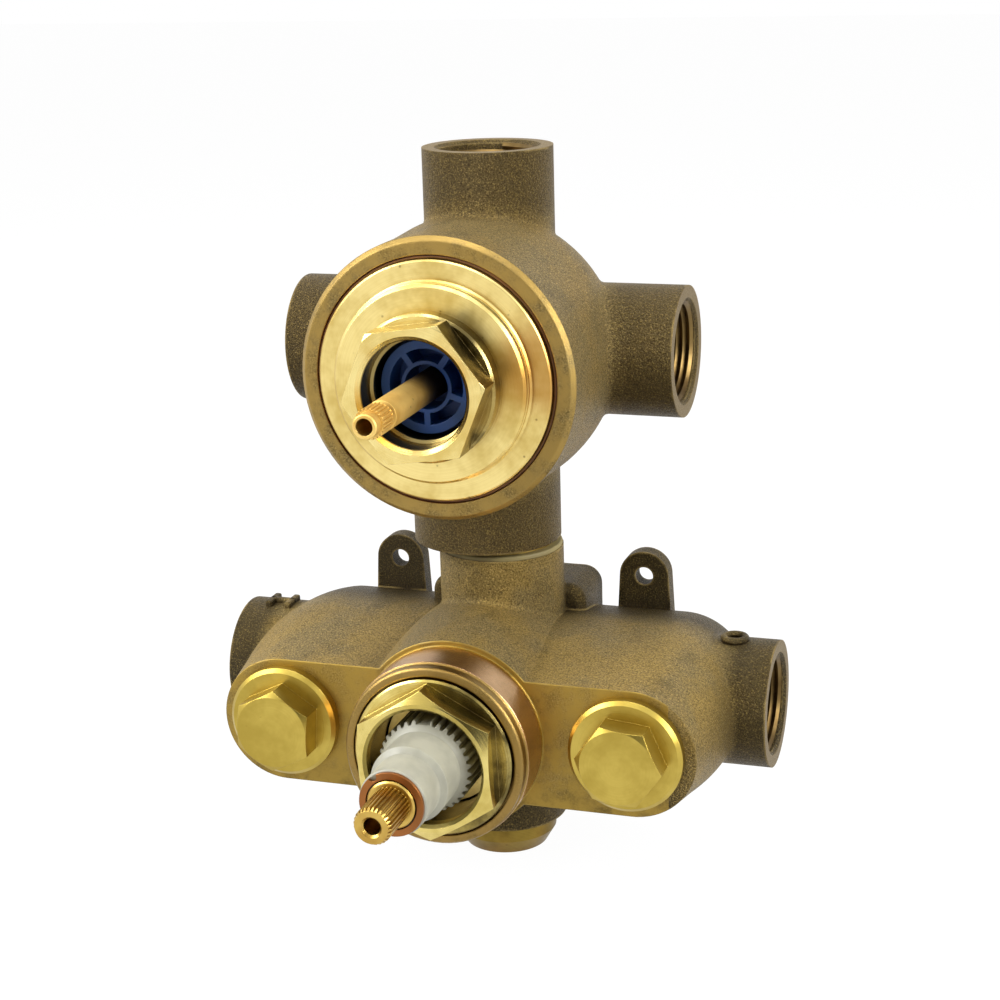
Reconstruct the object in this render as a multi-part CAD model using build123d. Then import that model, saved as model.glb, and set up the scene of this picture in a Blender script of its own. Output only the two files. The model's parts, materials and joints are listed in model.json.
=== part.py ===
from build123d import *
import math
import os

# Concealed thermostatic valve: a three-outlet diverter casting joined above a thermostatic mixer casting.
# Origin midway between the two fixing holes, on the wall plane. +X right, +Z up, -Y out of the wall.
# Depths are measured out from the wall plane, heights up from the fixing holes, all in millimetres.

# Layout of the two castings
PORTS_DEPTH = 22.8
DIVERTER_HEIGHT = 67.5
MIXER_HEIGHT = -26.6
RUNNING_FIT = 0.05
SEAT_GAP = 0.1
THREAD_GAP = 0.1

# Pipe threads of the outlets and inlets
PORT_OUTER_R = 16.95
PORT_BORE_R = 12.9
PORT_CHAMFER = 0.9
PORT_THREAD_LENGTH = 16.0
OUTLET_REACH = 52.1
TOP_OUTLET_REACH = 51.8
HOT_INLET_REACH = 74.8
COLD_INLET_REACH = 76.4
OUTLET_WATERWAY_R = 8.0
INLET_WATERWAY_R = 9.5

# Diverter casting
RIM_R = 35.5
RIM_FRONT_DEPTH = 67.7
RIM_WIDTH = 7.0
RIM_EDGE = 1.2
BODY_R = 36.1
BODY_REAR_DEPTH = 1.5
BODY_REAR_R = 21.0
BODY_SHOULDER_DEPTH = 36.0
FEED_CHAMBER_R = 24.0
OUTLET_CHAMBER_R = 14.5
DISC_SEAT_DEPTH = 31.2
FEED_CHAMBER_DEPTH = 34.8
OUTLET_CHAMBER_DEPTH = 8.0
OUTLET_RIB_WIDTH = 2.6
FEED_HOLE_R = 6.0
NECK_BOSS_R = 19.8
NECK_BOSS_SHIFT = -2.9
NECK_BOSS_BOTTOM = 15.0
NECK_BOSS_RISE = 28.0
NECK_BOSS_EDGE = 1.2
NECK_WATERWAY_R = 9.0
CAST_FILLET = 1.6

# Diverter bonnet and its retaining nut
BONNET_FLANGE_R = 30.0
BONNET_FLANGE_PROUD = 1.3
BONNET_FLANGE_THICK = 5.2
BONNET_RECESS_GAP = 1.0
BONNET_RING_R = 24.7
BONNET_RING_RISE = 3.7
BONNET_SHANK_R = 27.3
BONNET_SHANK_LENGTH = 9.4
BONNET_BORE_R = 15.9
DIVERTER_NUT_FLATS = 32.0
DIVERTER_NUT_HEX = 7.2
DIVERTER_NUT_FACE_R = 17.5
DIVERTER_NUT_FLANGE_R = 18.4
DIVERTER_NUT_FLANGE = 4.3
DIVERTER_NUT_BORE_R = 13.3
DIVERTER_NUT_MOUTH = 1.2
DIVERTER_NUT_STEP_R = 12.5
DIVERTER_NUT_STEP = 4.1
DIVERTER_NUT_SHANK = 6.5
DIVERTER_NUT_TURN = 8.0

# Diverter cartridge
CAGE_WALL = 2.1
CAGE_FRONT_THICK = 2.2
CAGE_HUB_R = 6.5
CAGE_HUB_LENGTH = 12.0
CAGE_NECK_R = 11.6
CAGE_NECK_LENGTH = 7.8
CAGE_RECESS_R = 5.5
CAGE_RECESS_DEPTH = 9.0
CAGE_SLOT_OUTER_R = 9.4
CAGE_SLOT_DEPTH = 7.0
CAGE_SPOKES = 5
CAGE_SPOKE_WIDTH = 1.6
CAGE_SPOKE_TURN = 54.0
CAGE_WINDOWS = 4
CAGE_WINDOW_LENGTH = 12.0
CAGE_PILLAR_WIDTH = 7.0
BASE_SEAL_THICK = 1.2
FIXED_DISC_THICK = 3.0
MOVING_DISC_THICK = 2.8
DISC_PORT_R = 3.4
DISC_PORT_OFFSET = 8.6
DRIVE_PLATE_THICK = 3.2
DRIVE_HUB_R = 5.0
DRIVE_HUB_LENGTH = 4.5
DRIVE_LUG = 1.2
DRIVE_LUG_LENGTH = 4.0
DRIVE_LUG_WIDTH = 3.0
DRIVE_LUG_OFFSET = 8.5
DRIVE_LUG_DROP = 3.5
DIVERTER_SPINDLE_R = 3.7
DIVERTER_SPINDLE_TIP = 114.3
DIVERTER_NOSE_R = 2.95
DIVERTER_NOSE = 3.0
DIVERTER_SPLINE = 6.0
DIVERTER_GROOVE = 1.6
DIVERTER_TEETH = 24
DIVERTER_SCREW_R = 2.05
DIVERTER_SCREW_DEPTH = 10.0

# Joint between the two castings
NIPPLE_R = 13.1
NIPPLE_BORE_R = 9.8
NIPPLE_ENGAGEMENT = 12.5
NIPPLE_FLANGE_R = 15.2
SEALANT_R = 16.5
SEALANT_THICK = 1.2

# Mixer casting
FACE_DEPTH = 64.3
BODY_HALF_SPAN = 47.3
FACE_R = 16.9
BAR_DROP = 0.5
PARTING_R = 20.9
CREASE_DEPTH = 51.8
CREASE_R = 19.0
REAR_EDGE_DEPTH = 4.0
REAR_EDGE_R = 17.5
WALL_FACE_R = 14.9
BOSS_FRONT_R = 25.6
BOSS_REAR_R = 27.2
BOSS_REAR_DEPTH = 28.0
BOSS_REAR_EDGE = 3.2
COLLAR_R = 24.2
COLLAR_FRONT_DEPTH = 79.2
COLLAR_RECESS_R = 21.5
COLLAR_STEP = 0.5
COLLAR_STEP_LENGTH = 3.4
COLLAR_RECESS_DEPTH = 3.2
NECK_R = 16.8
NECK_SHIFT = 0.8
NECK_TOP = 12.5
REAR_BLOCK_LEFT = -21.5
REAR_BLOCK_RIGHT = 22.5
REAR_BLOCK_TOP = 0.5
REAR_BLOCK_DEPTH = 18.5
REAR_BLOCK_CORNER = 5.0
BOTTOM_BOSS_R = 17.0
BOTTOM_BOSS_END = -64.8
EAR_SPACING = 71.6
EAR_R = 6.9
EAR_FOOT_HALF_WIDTH = 7.8
EAR_FOOT_RISE = 10.0
EAR_THICK = 4.8
EAR_HOLE_R = 2.5
CARTRIDGE_BORE_R = 17.0
CARTRIDGE_BORE_END = 14.0
SEAM_TURN = 37.0

# Cartridge nut, head and stop sleeve
CARTRIDGE_NUT_FLATS = 34.6
CARTRIDGE_NUT_FLANGE_R = 20.9
CARTRIDGE_NUT_FLANGE = 4.1
CARTRIDGE_NUT_HEX = 6.9
CARTRIDGE_NUT_BORE_R = 15.2
CARTRIDGE_NUT_SHANK_R = 18.6
CARTRIDGE_NUT_SHANK = 10.0
CARTRIDGE_NUT_FACE_R = 17.0
CARTRIDGE_NUT_TURN = 32.0
HEAD_FLANGE_THICK = 3.0
HEAD_LENGTH = 6.2
HEAD_NOSE_R = 7.9
HEAD_NOSE_LENGTH = 4.5
SLEEVE_REAR_R = 12.2
SLEEVE_REAR_LENGTH = 13.4
SLEEVE_TEETH = 34
SLEEVE_TOOTH = 0.9
SLEEVE_TOOTH_BEVEL = 0.7
SLEEVE_PLAIN_HALF_WIDTH = 1.9
SLEEVE_MIDDLE_R = 10.0
SLEEVE_MIDDLE_LENGTH = 12.0
SLEEVE_FRONT_R = 8.6
SLEEVE_FRONT_LENGTH = 10.0
SLEEVE_BORE_R = 6.2
SLEEVE_STEP_FILLET = 1.2
WASHER_R = 8.2
WASHER_BORE_R = 6.5
WASHER_THICK = 0.9
WASHER_NOTCH = 1.2

# Temperature spindle and the moving parts behind it
SPINDLE_SPLINE_R = 4.8
SPINDLE_TEETH = 28
SPINDLE_TOOTH = 0.6
SPINDLE_TIP = 121.6
SPINDLE_SHAFT_R = 4.1
SPINDLE_JOURNAL_R = 5.0
SPINDLE_COLLAR_R = 7.0
SPINDLE_COLLAR_THICK = 2.0
SPINDLE_THREAD_R = 4.0
SPINDLE_THREAD_LENGTH = 5.0
SPINDLE_SCREW_R = 2.1
SPINDLE_SCREW_DEPTH = 12.0
REGULATING_TRAVEL = 0.8
REGULATING_NUT_R = 9.5
REGULATING_NUT_LENGTH = 12.3
REGULATING_NUT_SOCKET_R = 7.8
REGULATING_NUT_THREAD = 4.3
OVERLOAD_SPRING_LENGTH = 6.8
OVERLOAD_SPRING_R = 5.2
RETURN_SPRING_R = 11.4
SPRING_WIRE_R = 0.7
WAX_CAP_R = 7.4
WAX_CAP_THICK = 1.5
WAX_BODY_R = 6.0
WAX_BODY_LENGTH = 23.0
WAX_FLANGE_R = 8.0
WAX_FLANGE_THICK = 1.2
HOUSING_WALL = 2.6
HOUSING_FIT = 0.2
HOUSING_REAR_DEPTH = 27.0
HOUSING_LIP_R = 9.8
HOUSING_LIP_THICK = 2.5
HOT_INLET_DEPTH = 52.0
COLD_INLET_DEPTH = 41.0
HOUSING_WINDOW = 3.2
SHUTTLE_WALL = 1.9
SHUTTLE_LENGTH = 7.8
SHUTTLE_WEB_THICK = 2.0
SHUTTLE_HUB_R = 8.5
SEAL_WIRE_R = 0.85

# Side inlets: cap, strainer and check valve
CAP_SPAN = 46.4
CAP_FLANGE_R = 14.85
CAP_FLANGE_THICK = 3.5
CAP_FLATS = 19.4
CAP_HEAD = 7.0
CAP_FACE_R = 9.6
CAP_SHANK_R = 11.2
CAP_SHANK_LENGTH = 8.3
HOT_CAP_TURN = 26.0
COLD_CAP_TURN = -6.0
CHAMBER_R = 10.4
CHAMBER_END = 12.0
PASSAGE_R = 3.2
STRAINER_R = 9.9
STRAINER_WALL = 0.7
STRAINER_SLOTS = 10
CHECK_SEAT_DEPTH = 31.0
CHECK_SEAT_THICK = 4.0
CHECK_SEAT_BORE_R = 6.0
CHECK_CAGE_LENGTH = 17.0
CHECK_LEG_WIDTH = 3.0
CHECK_HUB_R = 3.2
CHECK_HUB_LENGTH = 2.0
POPPET_R = 7.6
POPPET_THICK = 1.6
POPPET_STEM_R = 1.5
CHECK_SPRING_R = 2.6
CHECK_SPRING_WIRE_R = 0.4

# Bottom plug
PLUG_R = 14.0
PLUG_NOSE_R = 11.5
PLUG_HEAD = 9.0
PLUG_FLANGE = 4.8
PLUG_SHANK_R = 9.5
PLUG_SHANK_LENGTH = 8.5
PLUG_SOCKET_FLATS = 10.0
PLUG_SOCKET_DEPTH = 5.0

MIDDLE_LOW = (Align.CENTER, Align.CENTER, Align.MIN)


# Shapes shared by many pieces
def turned(outline, height=0.0, across=0.0):
    """Solid of revolution about a line square to the wall, from (radius, depth) points."""
    profile = make_face(Polyline(*[(radius, -depth) for radius, depth in outline], close=True))
    return Pos(across, 0, height) * revolve(profile, Axis.Y)


def rod(radius, start, end, height, across=0.0):
    """Cylinder square to the wall between two depths."""
    return turned([(0, start), (radius, start), (radius, end), (0, end)], height, across)


def ring(outer, inner, start, end, height, across=0.0):
    """Plain ring square to the wall between two depths."""
    return turned([(inner, start), (outer, start), (outer, end), (inner, end)], height, across)


def seal_ring(middle, wire, depth, height, across=0.0):
    """Round rubber ring about a line square to the wall."""
    return Pos(across, -depth, height) * Rot(90, 0, 0) * Torus(middle, wire)


def bar_across(radius, start, end, depth, height):
    """Cylinder along X between two positions."""
    bar = Rot(0, 90, 0) * Cylinder(radius, end - start, align=MIDDLE_LOW)
    return Pos(start, -depth, height) * bar


def bar_up(radius, start, end, depth, across=0.0):
    """Cylinder along Z between two heights."""
    return Pos(across, -depth, start) * Cylinder(radius, end - start, align=MIDDLE_LOW)


def prism(outline, start, end, height, across=0.0):
    """Flat outline pushed out of the wall between two depths."""
    return Pos(across, -start, height) * extrude(Plane.XZ * outline, end - start)


def hexagon(flats, turn):
    """Hexagon of a width across flats, one corner at the angle turn from +X."""
    return Rot(0, 0, turn) * RegularPolygon(flats / math.sqrt(3), 6)


def hex_head(flats, turn, face_r, start, end, height, across=0.0):
    """Hexagonal head whose outer corners are turned off to a round face."""
    corner_r = flats / math.sqrt(3)
    slope = (corner_r - face_r) * math.tan(math.radians(30))
    bevel_start = end - slope
    limit = [(0, start), (corner_r + 1, start), (corner_r + 1, bevel_start)]
    limit += [(corner_r, bevel_start), (face_r, end), (0, end)]
    return prism(hexagon(flats, turn), start, end, height, across) & turned(limit, height, across)


def splined(radius, tooth, teeth, start, end, height):
    """Shaft with straight teeth, tooth deep."""
    points = []
    for index in range(teeth):
        for share, reach in ((0.0, radius - tooth), (0.3, radius - tooth), (0.5, radius), (0.8, radius)):
            angle = 2 * math.pi * (index + share) / teeth
            points.append((reach * math.cos(angle), reach * math.sin(angle)))
    return prism(make_face(Polyline(*points, close=True)), start, end, height)


def coil(middle, wire, turns, start, end, height, across=0.0):
    """Compression spring square to the wall, its wire's middle running from start to end inside its ends."""
    rise = end - start - 2 * wire
    path = Helix(rise / turns, rise, middle)
    section = Plane(path @ 0, z_dir=path % 0) * Circle(wire)
    return Pos(across, -start - wire, height) * Rot(90, 0, 0) * sweep(section, path, is_frenet=True)


def distance_from(line, point):
    """Distance of a point from a line."""
    return (Vector(point) - line.position).cross(line.direction).length


def seams(solid, line, radius):
    """Curved edges that lie on a cylinder about a line, where it runs into another surface."""
    found = []
    for edge in solid.edges():
        if edge.geom_type in (GeomType.LINE, GeomType.CIRCLE):
            continue
        if all(abs(distance_from(line, edge @ place) - radius) < 0.01 for place in (0.1, 0.5, 0.9)):
            found.append(edge)
    return found


# Lines that pieces share
OUTLET_LINE = Axis((0, -PORTS_DEPTH, DIVERTER_HEIGHT), (1, 0, 0))
STACK_LINE = Axis((0, -PORTS_DEPTH, 0), (0, 0, 1))
NECK_BOSS_LINE = Axis((NECK_BOSS_SHIFT, -PORTS_DEPTH, 0), (0, 0, 1))
NECK_LINE = Axis((NECK_SHIFT, -PORTS_DEPTH, 0), (0, 0, 1))
INLET_LINE = Axis((0, -PORTS_DEPTH, MIXER_HEIGHT), (1, 0, 0))

# Depths worked out from the sizes above
BONNET_FRONT = RIM_FRONT_DEPTH + BONNET_FLANGE_PROUD
BONNET_SEAT = BONNET_FRONT - BONNET_FLANGE_THICK
BONNET_REAR = BONNET_SEAT - BONNET_SHANK_LENGTH
BONNET_TOP = BONNET_FRONT + BONNET_RING_RISE
CAGE_FRONT = BONNET_TOP - DIVERTER_NUT_SHANK
CAGE_R = BONNET_BORE_R - 0.5
CAGE_NECK_FRONT = CAGE_FRONT + CAGE_NECK_LENGTH
BASE_SEAL_FRONT = DISC_SEAT_DEPTH + BASE_SEAL_THICK
FIXED_DISC_FRONT = BASE_SEAL_FRONT + FIXED_DISC_THICK
MOVING_DISC_FRONT = FIXED_DISC_FRONT + MOVING_DISC_THICK
DRIVE_FRONT = MOVING_DISC_FRONT + DRIVE_PLATE_THICK
NUT_SEAT = COLLAR_FRONT_DEPTH - COLLAR_RECESS_DEPTH
NUT_SHANK_END = NUT_SEAT - CARTRIDGE_NUT_SHANK
HEAD_SEAT = NUT_SHANK_END - HEAD_FLANGE_THICK
HEAD_FRONT = NUT_SHANK_END + HEAD_LENGTH
SLEEVE_REAR = HEAD_FRONT + SEAT_GAP
SLEEVE_STEP = SLEEVE_REAR + SLEEVE_REAR_LENGTH
SLEEVE_SHOULDER = SLEEVE_STEP + SLEEVE_MIDDLE_LENGTH
SLEEVE_FRONT = SLEEVE_SHOULDER + SLEEVE_FRONT_LENGTH
WASHER_FRONT = SLEEVE_FRONT + WASHER_THICK
COLLAR_TOP = HEAD_SEAT - 2 * SEAT_GAP
COLLAR_REAR = COLLAR_TOP - SPINDLE_COLLAR_THICK
REGULATING_TOP = COLLAR_REAR - REGULATING_TRAVEL - 2 * SEAT_GAP
REGULATING_REAR = REGULATING_TOP - REGULATING_NUT_LENGTH
REGULATING_SOCKET = REGULATING_TOP - REGULATING_NUT_THREAD
WAX_TOP = REGULATING_SOCKET - OVERLOAD_SPRING_LENGTH
WAX_CAP_REAR = WAX_TOP - WAX_CAP_THICK
SHUTTLE_TOP = HOT_INLET_DEPTH - HOUSING_WINDOW / 2
SHUTTLE_REAR = SHUTTLE_TOP - SHUTTLE_LENGTH
HOUSING_R = CARTRIDGE_BORE_R - HOUSING_FIT
HOUSING_INNER_R = HOUSING_R - HOUSING_WALL
CAP_SHANK_END = FACE_DEPTH - CAP_SHANK_LENGTH
CHECK_SEAT_FRONT = CHECK_SEAT_DEPTH + CHECK_SEAT_THICK
POPPET_FRONT = CHECK_SEAT_FRONT + POPPET_THICK
CHECK_CAGE_FRONT = CHECK_SEAT_DEPTH + CHECK_CAGE_LENGTH


def port_bore_across(side, reach, waterway_r, inner_end, height):
    """Threaded mouth, chamfer and waterway of a side port; side is -1 or 1."""
    thread_end = reach - PORT_THREAD_LENGTH
    mouth = Cone(PORT_BORE_R, PORT_BORE_R + PORT_CHAMFER, PORT_CHAMFER, align=MIDDLE_LOW)
    cut = bar_across(PORT_BORE_R, thread_end, reach, PORTS_DEPTH, height)
    cut += bar_across(waterway_r, inner_end, thread_end, PORTS_DEPTH, height)
    cut += Pos(reach - PORT_CHAMFER, -PORTS_DEPTH, height) * Rot(0, 90, 0) * mouth
    if side < 0:
        return mirror(cut, Plane.YZ)
    return cut


def rear_chambers():
    """The three sector-shaped waterways behind the ceramic discs, one for each outlet."""
    room = rod(OUTLET_CHAMBER_R, OUTLET_CHAMBER_DEPTH, DISC_SEAT_DEPTH, DIVERTER_HEIGHT)
    for angle in (45, 135, 270):
        rib = Pos(OUTLET_CHAMBER_R, 0) * Rectangle(2 * OUTLET_CHAMBER_R, OUTLET_RIB_WIDTH)
        room -= prism(Rot(0, 0, angle) * rib, OUTLET_CHAMBER_DEPTH, DISC_SEAT_DEPTH, DIVERTER_HEIGHT)
    return room


# Diverter casting: round body with a domed back, three outlets and the inlet neck
def make_diverter_body():
    rim_rear = RIM_FRONT_DEPTH - RIM_WIDTH
    side = Polyline(
        (0, -RIM_FRONT_DEPTH),
        (RIM_R - RIM_EDGE, -RIM_FRONT_DEPTH),
        (RIM_R, -RIM_FRONT_DEPTH + RIM_EDGE),
        (RIM_R, -rim_rear),
        (BODY_R - 1.0, -rim_rear + 0.8),
        (BODY_R, -BODY_SHOULDER_DEPTH),
    )
    dome = ThreePointArc(
        (BODY_R, -BODY_SHOULDER_DEPTH),
        (BODY_R - 5.0, -(BODY_SHOULDER_DEPTH + BODY_REAR_DEPTH) / 2 + 4.0),
        (BODY_REAR_R, -BODY_REAR_DEPTH),
    )
    back = Polyline((BODY_REAR_R, -BODY_REAR_DEPTH), (0, -BODY_REAR_DEPTH), (0, -RIM_FRONT_DEPTH))
    body = Pos(0, 0, DIVERTER_HEIGHT) * revolve(make_face(side + dome + back), Axis.Y)
    body += bar_across(PORT_OUTER_R, -OUTLET_REACH, OUTLET_REACH, PORTS_DEPTH, DIVERTER_HEIGHT)
    body += bar_up(PORT_OUTER_R, DIVERTER_HEIGHT, DIVERTER_HEIGHT + TOP_OUTLET_REACH, PORTS_DEPTH)
    boss_top = DIVERTER_HEIGHT + NECK_BOSS_RISE
    boss = bar_up(NECK_BOSS_R, NECK_BOSS_BOTTOM, boss_top, PORTS_DEPTH, NECK_BOSS_SHIFT)
    body += fillet(boss.edges().filter_by(GeomType.CIRCLE).sort_by(Axis.Z)[-1:], NECK_BOSS_EDGE)
    joins = seams(body, OUTLET_LINE, PORT_OUTER_R) + seams(body, STACK_LINE, PORT_OUTER_R)
    joins += seams(body, NECK_BOSS_LINE, NECK_BOSS_R)
    body = fillet(joins, CAST_FILLET)
    body -= rod(BONNET_FLANGE_R + BONNET_RECESS_GAP, BONNET_SEAT, RIM_FRONT_DEPTH, DIVERTER_HEIGHT)
    body -= rod(BONNET_SHANK_R + THREAD_GAP, BONNET_REAR - 0.4, BONNET_SEAT, DIVERTER_HEIGHT)
    body -= rod(FEED_CHAMBER_R, FEED_CHAMBER_DEPTH, BONNET_REAR, DIVERTER_HEIGHT)
    body -= rod(CAGE_R + 2 * SEAT_GAP, DISC_SEAT_DEPTH, FEED_CHAMBER_DEPTH, DIVERTER_HEIGHT)
    body -= rear_chambers()
    chamber_edge = OUTLET_CHAMBER_R - 3.0
    for direction in (-1, 1):
        body -= port_bore_across(direction, OUTLET_REACH, OUTLET_WATERWAY_R, chamber_edge, DIVERTER_HEIGHT)
    upright = port_bore_across(1, TOP_OUTLET_REACH, OUTLET_WATERWAY_R, chamber_edge, 0)
    body -= Pos(0, -PORTS_DEPTH, DIVERTER_HEIGHT) * Rot(0, -90, 0) * Pos(0, PORTS_DEPTH, 0) * upright
    nipple_end = NECK_BOSS_BOTTOM + NIPPLE_ENGAGEMENT + 1
    feed_height = DIVERTER_HEIGHT - OUTLET_CHAMBER_R - FEED_HOLE_R - 1.0
    body -= bar_up(NIPPLE_R + THREAD_GAP, NECK_BOSS_BOTTOM, nipple_end, PORTS_DEPTH)
    body -= bar_up(NECK_WATERWAY_R, NECK_BOSS_BOTTOM, feed_height + 2.0, PORTS_DEPTH)
    body -= rod(FEED_HOLE_R, PORTS_DEPTH, FEED_CHAMBER_DEPTH + 8.0, feed_height)
    return body


# Bonnet: flanged brass plug that closes the casting and carries the cartridge
def make_bonnet():
    groove = BONNET_RING_R - 0.6
    outline = [
        (BONNET_BORE_R, BONNET_REAR),
        (BONNET_SHANK_R - 0.8, BONNET_REAR),
        (BONNET_SHANK_R, BONNET_REAR + 0.8),
        (BONNET_SHANK_R, BONNET_SEAT - 2.6),
        (BONNET_SHANK_R - 1.7, BONNET_SEAT - 2.6),
        (BONNET_SHANK_R - 1.7, BONNET_SEAT),
        (BONNET_FLANGE_R, BONNET_SEAT),
        (BONNET_FLANGE_R, BONNET_FRONT - 0.4),
        (BONNET_FLANGE_R - 0.4, BONNET_FRONT),
        (BONNET_RING_R + 0.5, BONNET_FRONT),
        (BONNET_RING_R, BONNET_FRONT + 0.5),
        (BONNET_RING_R, BONNET_FRONT + 1.2),
        (groove, BONNET_FRONT + 1.5),
        (groove, BONNET_FRONT + 2.1),
        (BONNET_RING_R, BONNET_FRONT + 2.4),
        (BONNET_RING_R, BONNET_TOP - 0.7),
        (BONNET_RING_R - 0.7, BONNET_TOP),
        (BONNET_BORE_R, BONNET_TOP),
    ]
    return turned(outline, DIVERTER_HEIGHT)


# Hex nut that holds the diverter cartridge, stepped inside
def make_diverter_nut():
    hex_start = BONNET_TOP + DIVERTER_NUT_FLANGE
    hex_end = hex_start + DIVERTER_NUT_HEX
    step = BONNET_TOP + DIVERTER_NUT_STEP
    face_r = DIVERTER_NUT_FACE_R
    nut = hex_head(DIVERTER_NUT_FLATS, DIVERTER_NUT_TURN, face_r, hex_start, hex_end, DIVERTER_HEIGHT)
    flange_edge = DIVERTER_NUT_FLANGE_R - 0.6
    nut += turned(
        [
            (0, BONNET_TOP),
            (DIVERTER_NUT_FLANGE_R, BONNET_TOP),
            (DIVERTER_NUT_FLANGE_R, hex_start - 0.6),
            (flange_edge, hex_start),
            (0, hex_start),
        ],
        DIVERTER_HEIGHT,
    )
    nut += rod(BONNET_BORE_R - THREAD_GAP, CAGE_FRONT, BONNET_TOP, DIVERTER_HEIGHT)
    bore = [
        (0, CAGE_FRONT),
        (DIVERTER_NUT_STEP_R, CAGE_FRONT),
        (DIVERTER_NUT_STEP_R, step),
        (DIVERTER_NUT_BORE_R, step + 0.4),
        (DIVERTER_NUT_BORE_R, hex_end - DIVERTER_NUT_MOUTH),
        (DIVERTER_NUT_BORE_R + DIVERTER_NUT_MOUTH, hex_end),
        (0, hex_end),
    ]
    return nut - turned(bore, DIVERTER_HEIGHT)


# Blue cartridge cage: sleeve with side windows, spoked front ring and spindle hub
def make_cage():
    inner_r = CAGE_R - CAGE_WALL
    front_rear = CAGE_FRONT - CAGE_FRONT_THICK
    cage = ring(CAGE_R, inner_r, FIXED_DISC_FRONT, CAGE_FRONT, DIVERTER_HEIGHT)
    cage += rod(inner_r + CAGE_WALL / 2, front_rear, CAGE_FRONT, DIVERTER_HEIGHT)
    cage += rod(CAGE_HUB_R, CAGE_FRONT - CAGE_HUB_LENGTH, CAGE_FRONT, DIVERTER_HEIGHT)
    cage += rod(CAGE_NECK_R, CAGE_FRONT, CAGE_NECK_FRONT, DIVERTER_HEIGHT)
    slots = Circle(CAGE_SLOT_OUTER_R) - Circle(CAGE_HUB_R)
    spoke = Pos(CAGE_SLOT_OUTER_R, 0) * Rectangle(2 * CAGE_SLOT_OUTER_R, CAGE_SPOKE_WIDTH)
    for index in range(CAGE_SPOKES):
        slots -= Rot(0, 0, CAGE_SPOKE_TURN + 360 * index / CAGE_SPOKES) * spoke
    cage -= prism(slots, CAGE_NECK_FRONT - CAGE_SLOT_DEPTH, CAGE_NECK_FRONT, DIVERTER_HEIGHT)
    cage -= rod(CAGE_RECESS_R, CAGE_NECK_FRONT - CAGE_RECESS_DEPTH, CAGE_NECK_FRONT, DIVERTER_HEIGHT)
    windows = Circle(CAGE_R + 1) - Circle(inner_r - 0.5)
    pillar = Rectangle(2 * CAGE_R + 4, CAGE_PILLAR_WIDTH)
    for index in range(CAGE_WINDOWS // 2):
        windows -= Rot(0, 0, 45 + 360 * index / CAGE_WINDOWS) * pillar
    cage -= prism(windows, MOVING_DISC_FRONT, MOVING_DISC_FRONT + CAGE_WINDOW_LENGTH, DIVERTER_HEIGHT)
    return cage - rod(DIVERTER_SPINDLE_R + RUNNING_FIT, FIXED_DISC_FRONT, CAGE_NECK_FRONT, DIVERTER_HEIGHT)


def disc_with_ports(radius, start, end, angles):
    """Ceramic disc with round ports at the given angles."""
    disc = rod(radius, start, end, DIVERTER_HEIGHT)
    for angle in angles:
        place = Rot(0, 0, angle) * Pos(DISC_PORT_OFFSET, 0) * Circle(DISC_PORT_R)
        disc -= prism(place, start, end, DIVERTER_HEIGHT)
    return disc


def drive_lugs(clearance):
    """The two lugs by which the drive plate turns the moving disc."""
    lugs = Part()
    for side in (-1, 1):
        outline = Rectangle(DRIVE_LUG_LENGTH + 2 * clearance, DRIVE_LUG_WIDTH + 2 * clearance)
        lug = Pos(side * DRIVE_LUG_OFFSET, -DRIVE_LUG_DROP) * outline
        lugs += prism(lug, MOVING_DISC_FRONT - DRIVE_LUG - clearance, MOVING_DISC_FRONT, DIVERTER_HEIGHT)
    return lugs


def make_drive_plate():
    plate = disc_with_ports(CAGE_R - CAGE_WALL - 0.5, MOVING_DISC_FRONT, DRIVE_FRONT, (90,))
    plate += rod(DRIVE_HUB_R, DRIVE_FRONT, DRIVE_FRONT + DRIVE_HUB_LENGTH, DIVERTER_HEIGHT)
    plate += drive_lugs(0)
    socket_floor = MOVING_DISC_FRONT + 0.8
    return plate - rod(DIVERTER_SPINDLE_R, socket_floor, DRIVE_FRONT + DRIVE_HUB_LENGTH, DIVERTER_HEIGHT)


UPPER_SEAL_DEPTH = CAGE_FRONT - CAGE_HUB_LENGTH * 2 / 3
UPPER_SEAL_WIRE = 0.65


# Diverter spindle: plain shaft, groove, splined grip and nose with a screw hole
def make_diverter_spindle():
    tip = DIVERTER_SPINDLE_TIP
    spline_front = tip - DIVERTER_NOSE
    spline_rear = spline_front - DIVERTER_SPLINE
    groove_rear = spline_rear - DIVERTER_GROOVE
    seal_floor = DIVERTER_SPINDLE_R - 2 * UPPER_SEAL_WIRE
    seal_half = UPPER_SEAL_WIRE + 0.15
    outline = [
        (0, MOVING_DISC_FRONT + 0.8),
        (DIVERTER_SPINDLE_R, MOVING_DISC_FRONT + 0.8),
        (DIVERTER_SPINDLE_R, UPPER_SEAL_DEPTH - seal_half),
        (seal_floor, UPPER_SEAL_DEPTH - seal_half),
        (seal_floor, UPPER_SEAL_DEPTH + seal_half),
        (DIVERTER_SPINDLE_R, UPPER_SEAL_DEPTH + seal_half),
        (DIVERTER_SPINDLE_R, groove_rear),
        (DIVERTER_NOSE_R, groove_rear + 0.3),
        (DIVERTER_NOSE_R, spline_rear),
        (DIVERTER_NOSE_R, tip - 0.3),
        (DIVERTER_NOSE_R - 0.3, tip),
        (0, tip),
    ]
    spindle = turned(outline, DIVERTER_HEIGHT)
    spindle += splined(DIVERTER_SPINDLE_R, 0.4, DIVERTER_TEETH, spline_rear, spline_front, DIVERTER_HEIGHT)
    return spindle - rod(DIVERTER_SCREW_R, tip - DIVERTER_SCREW_DEPTH, tip, DIVERTER_HEIGHT)


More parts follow.
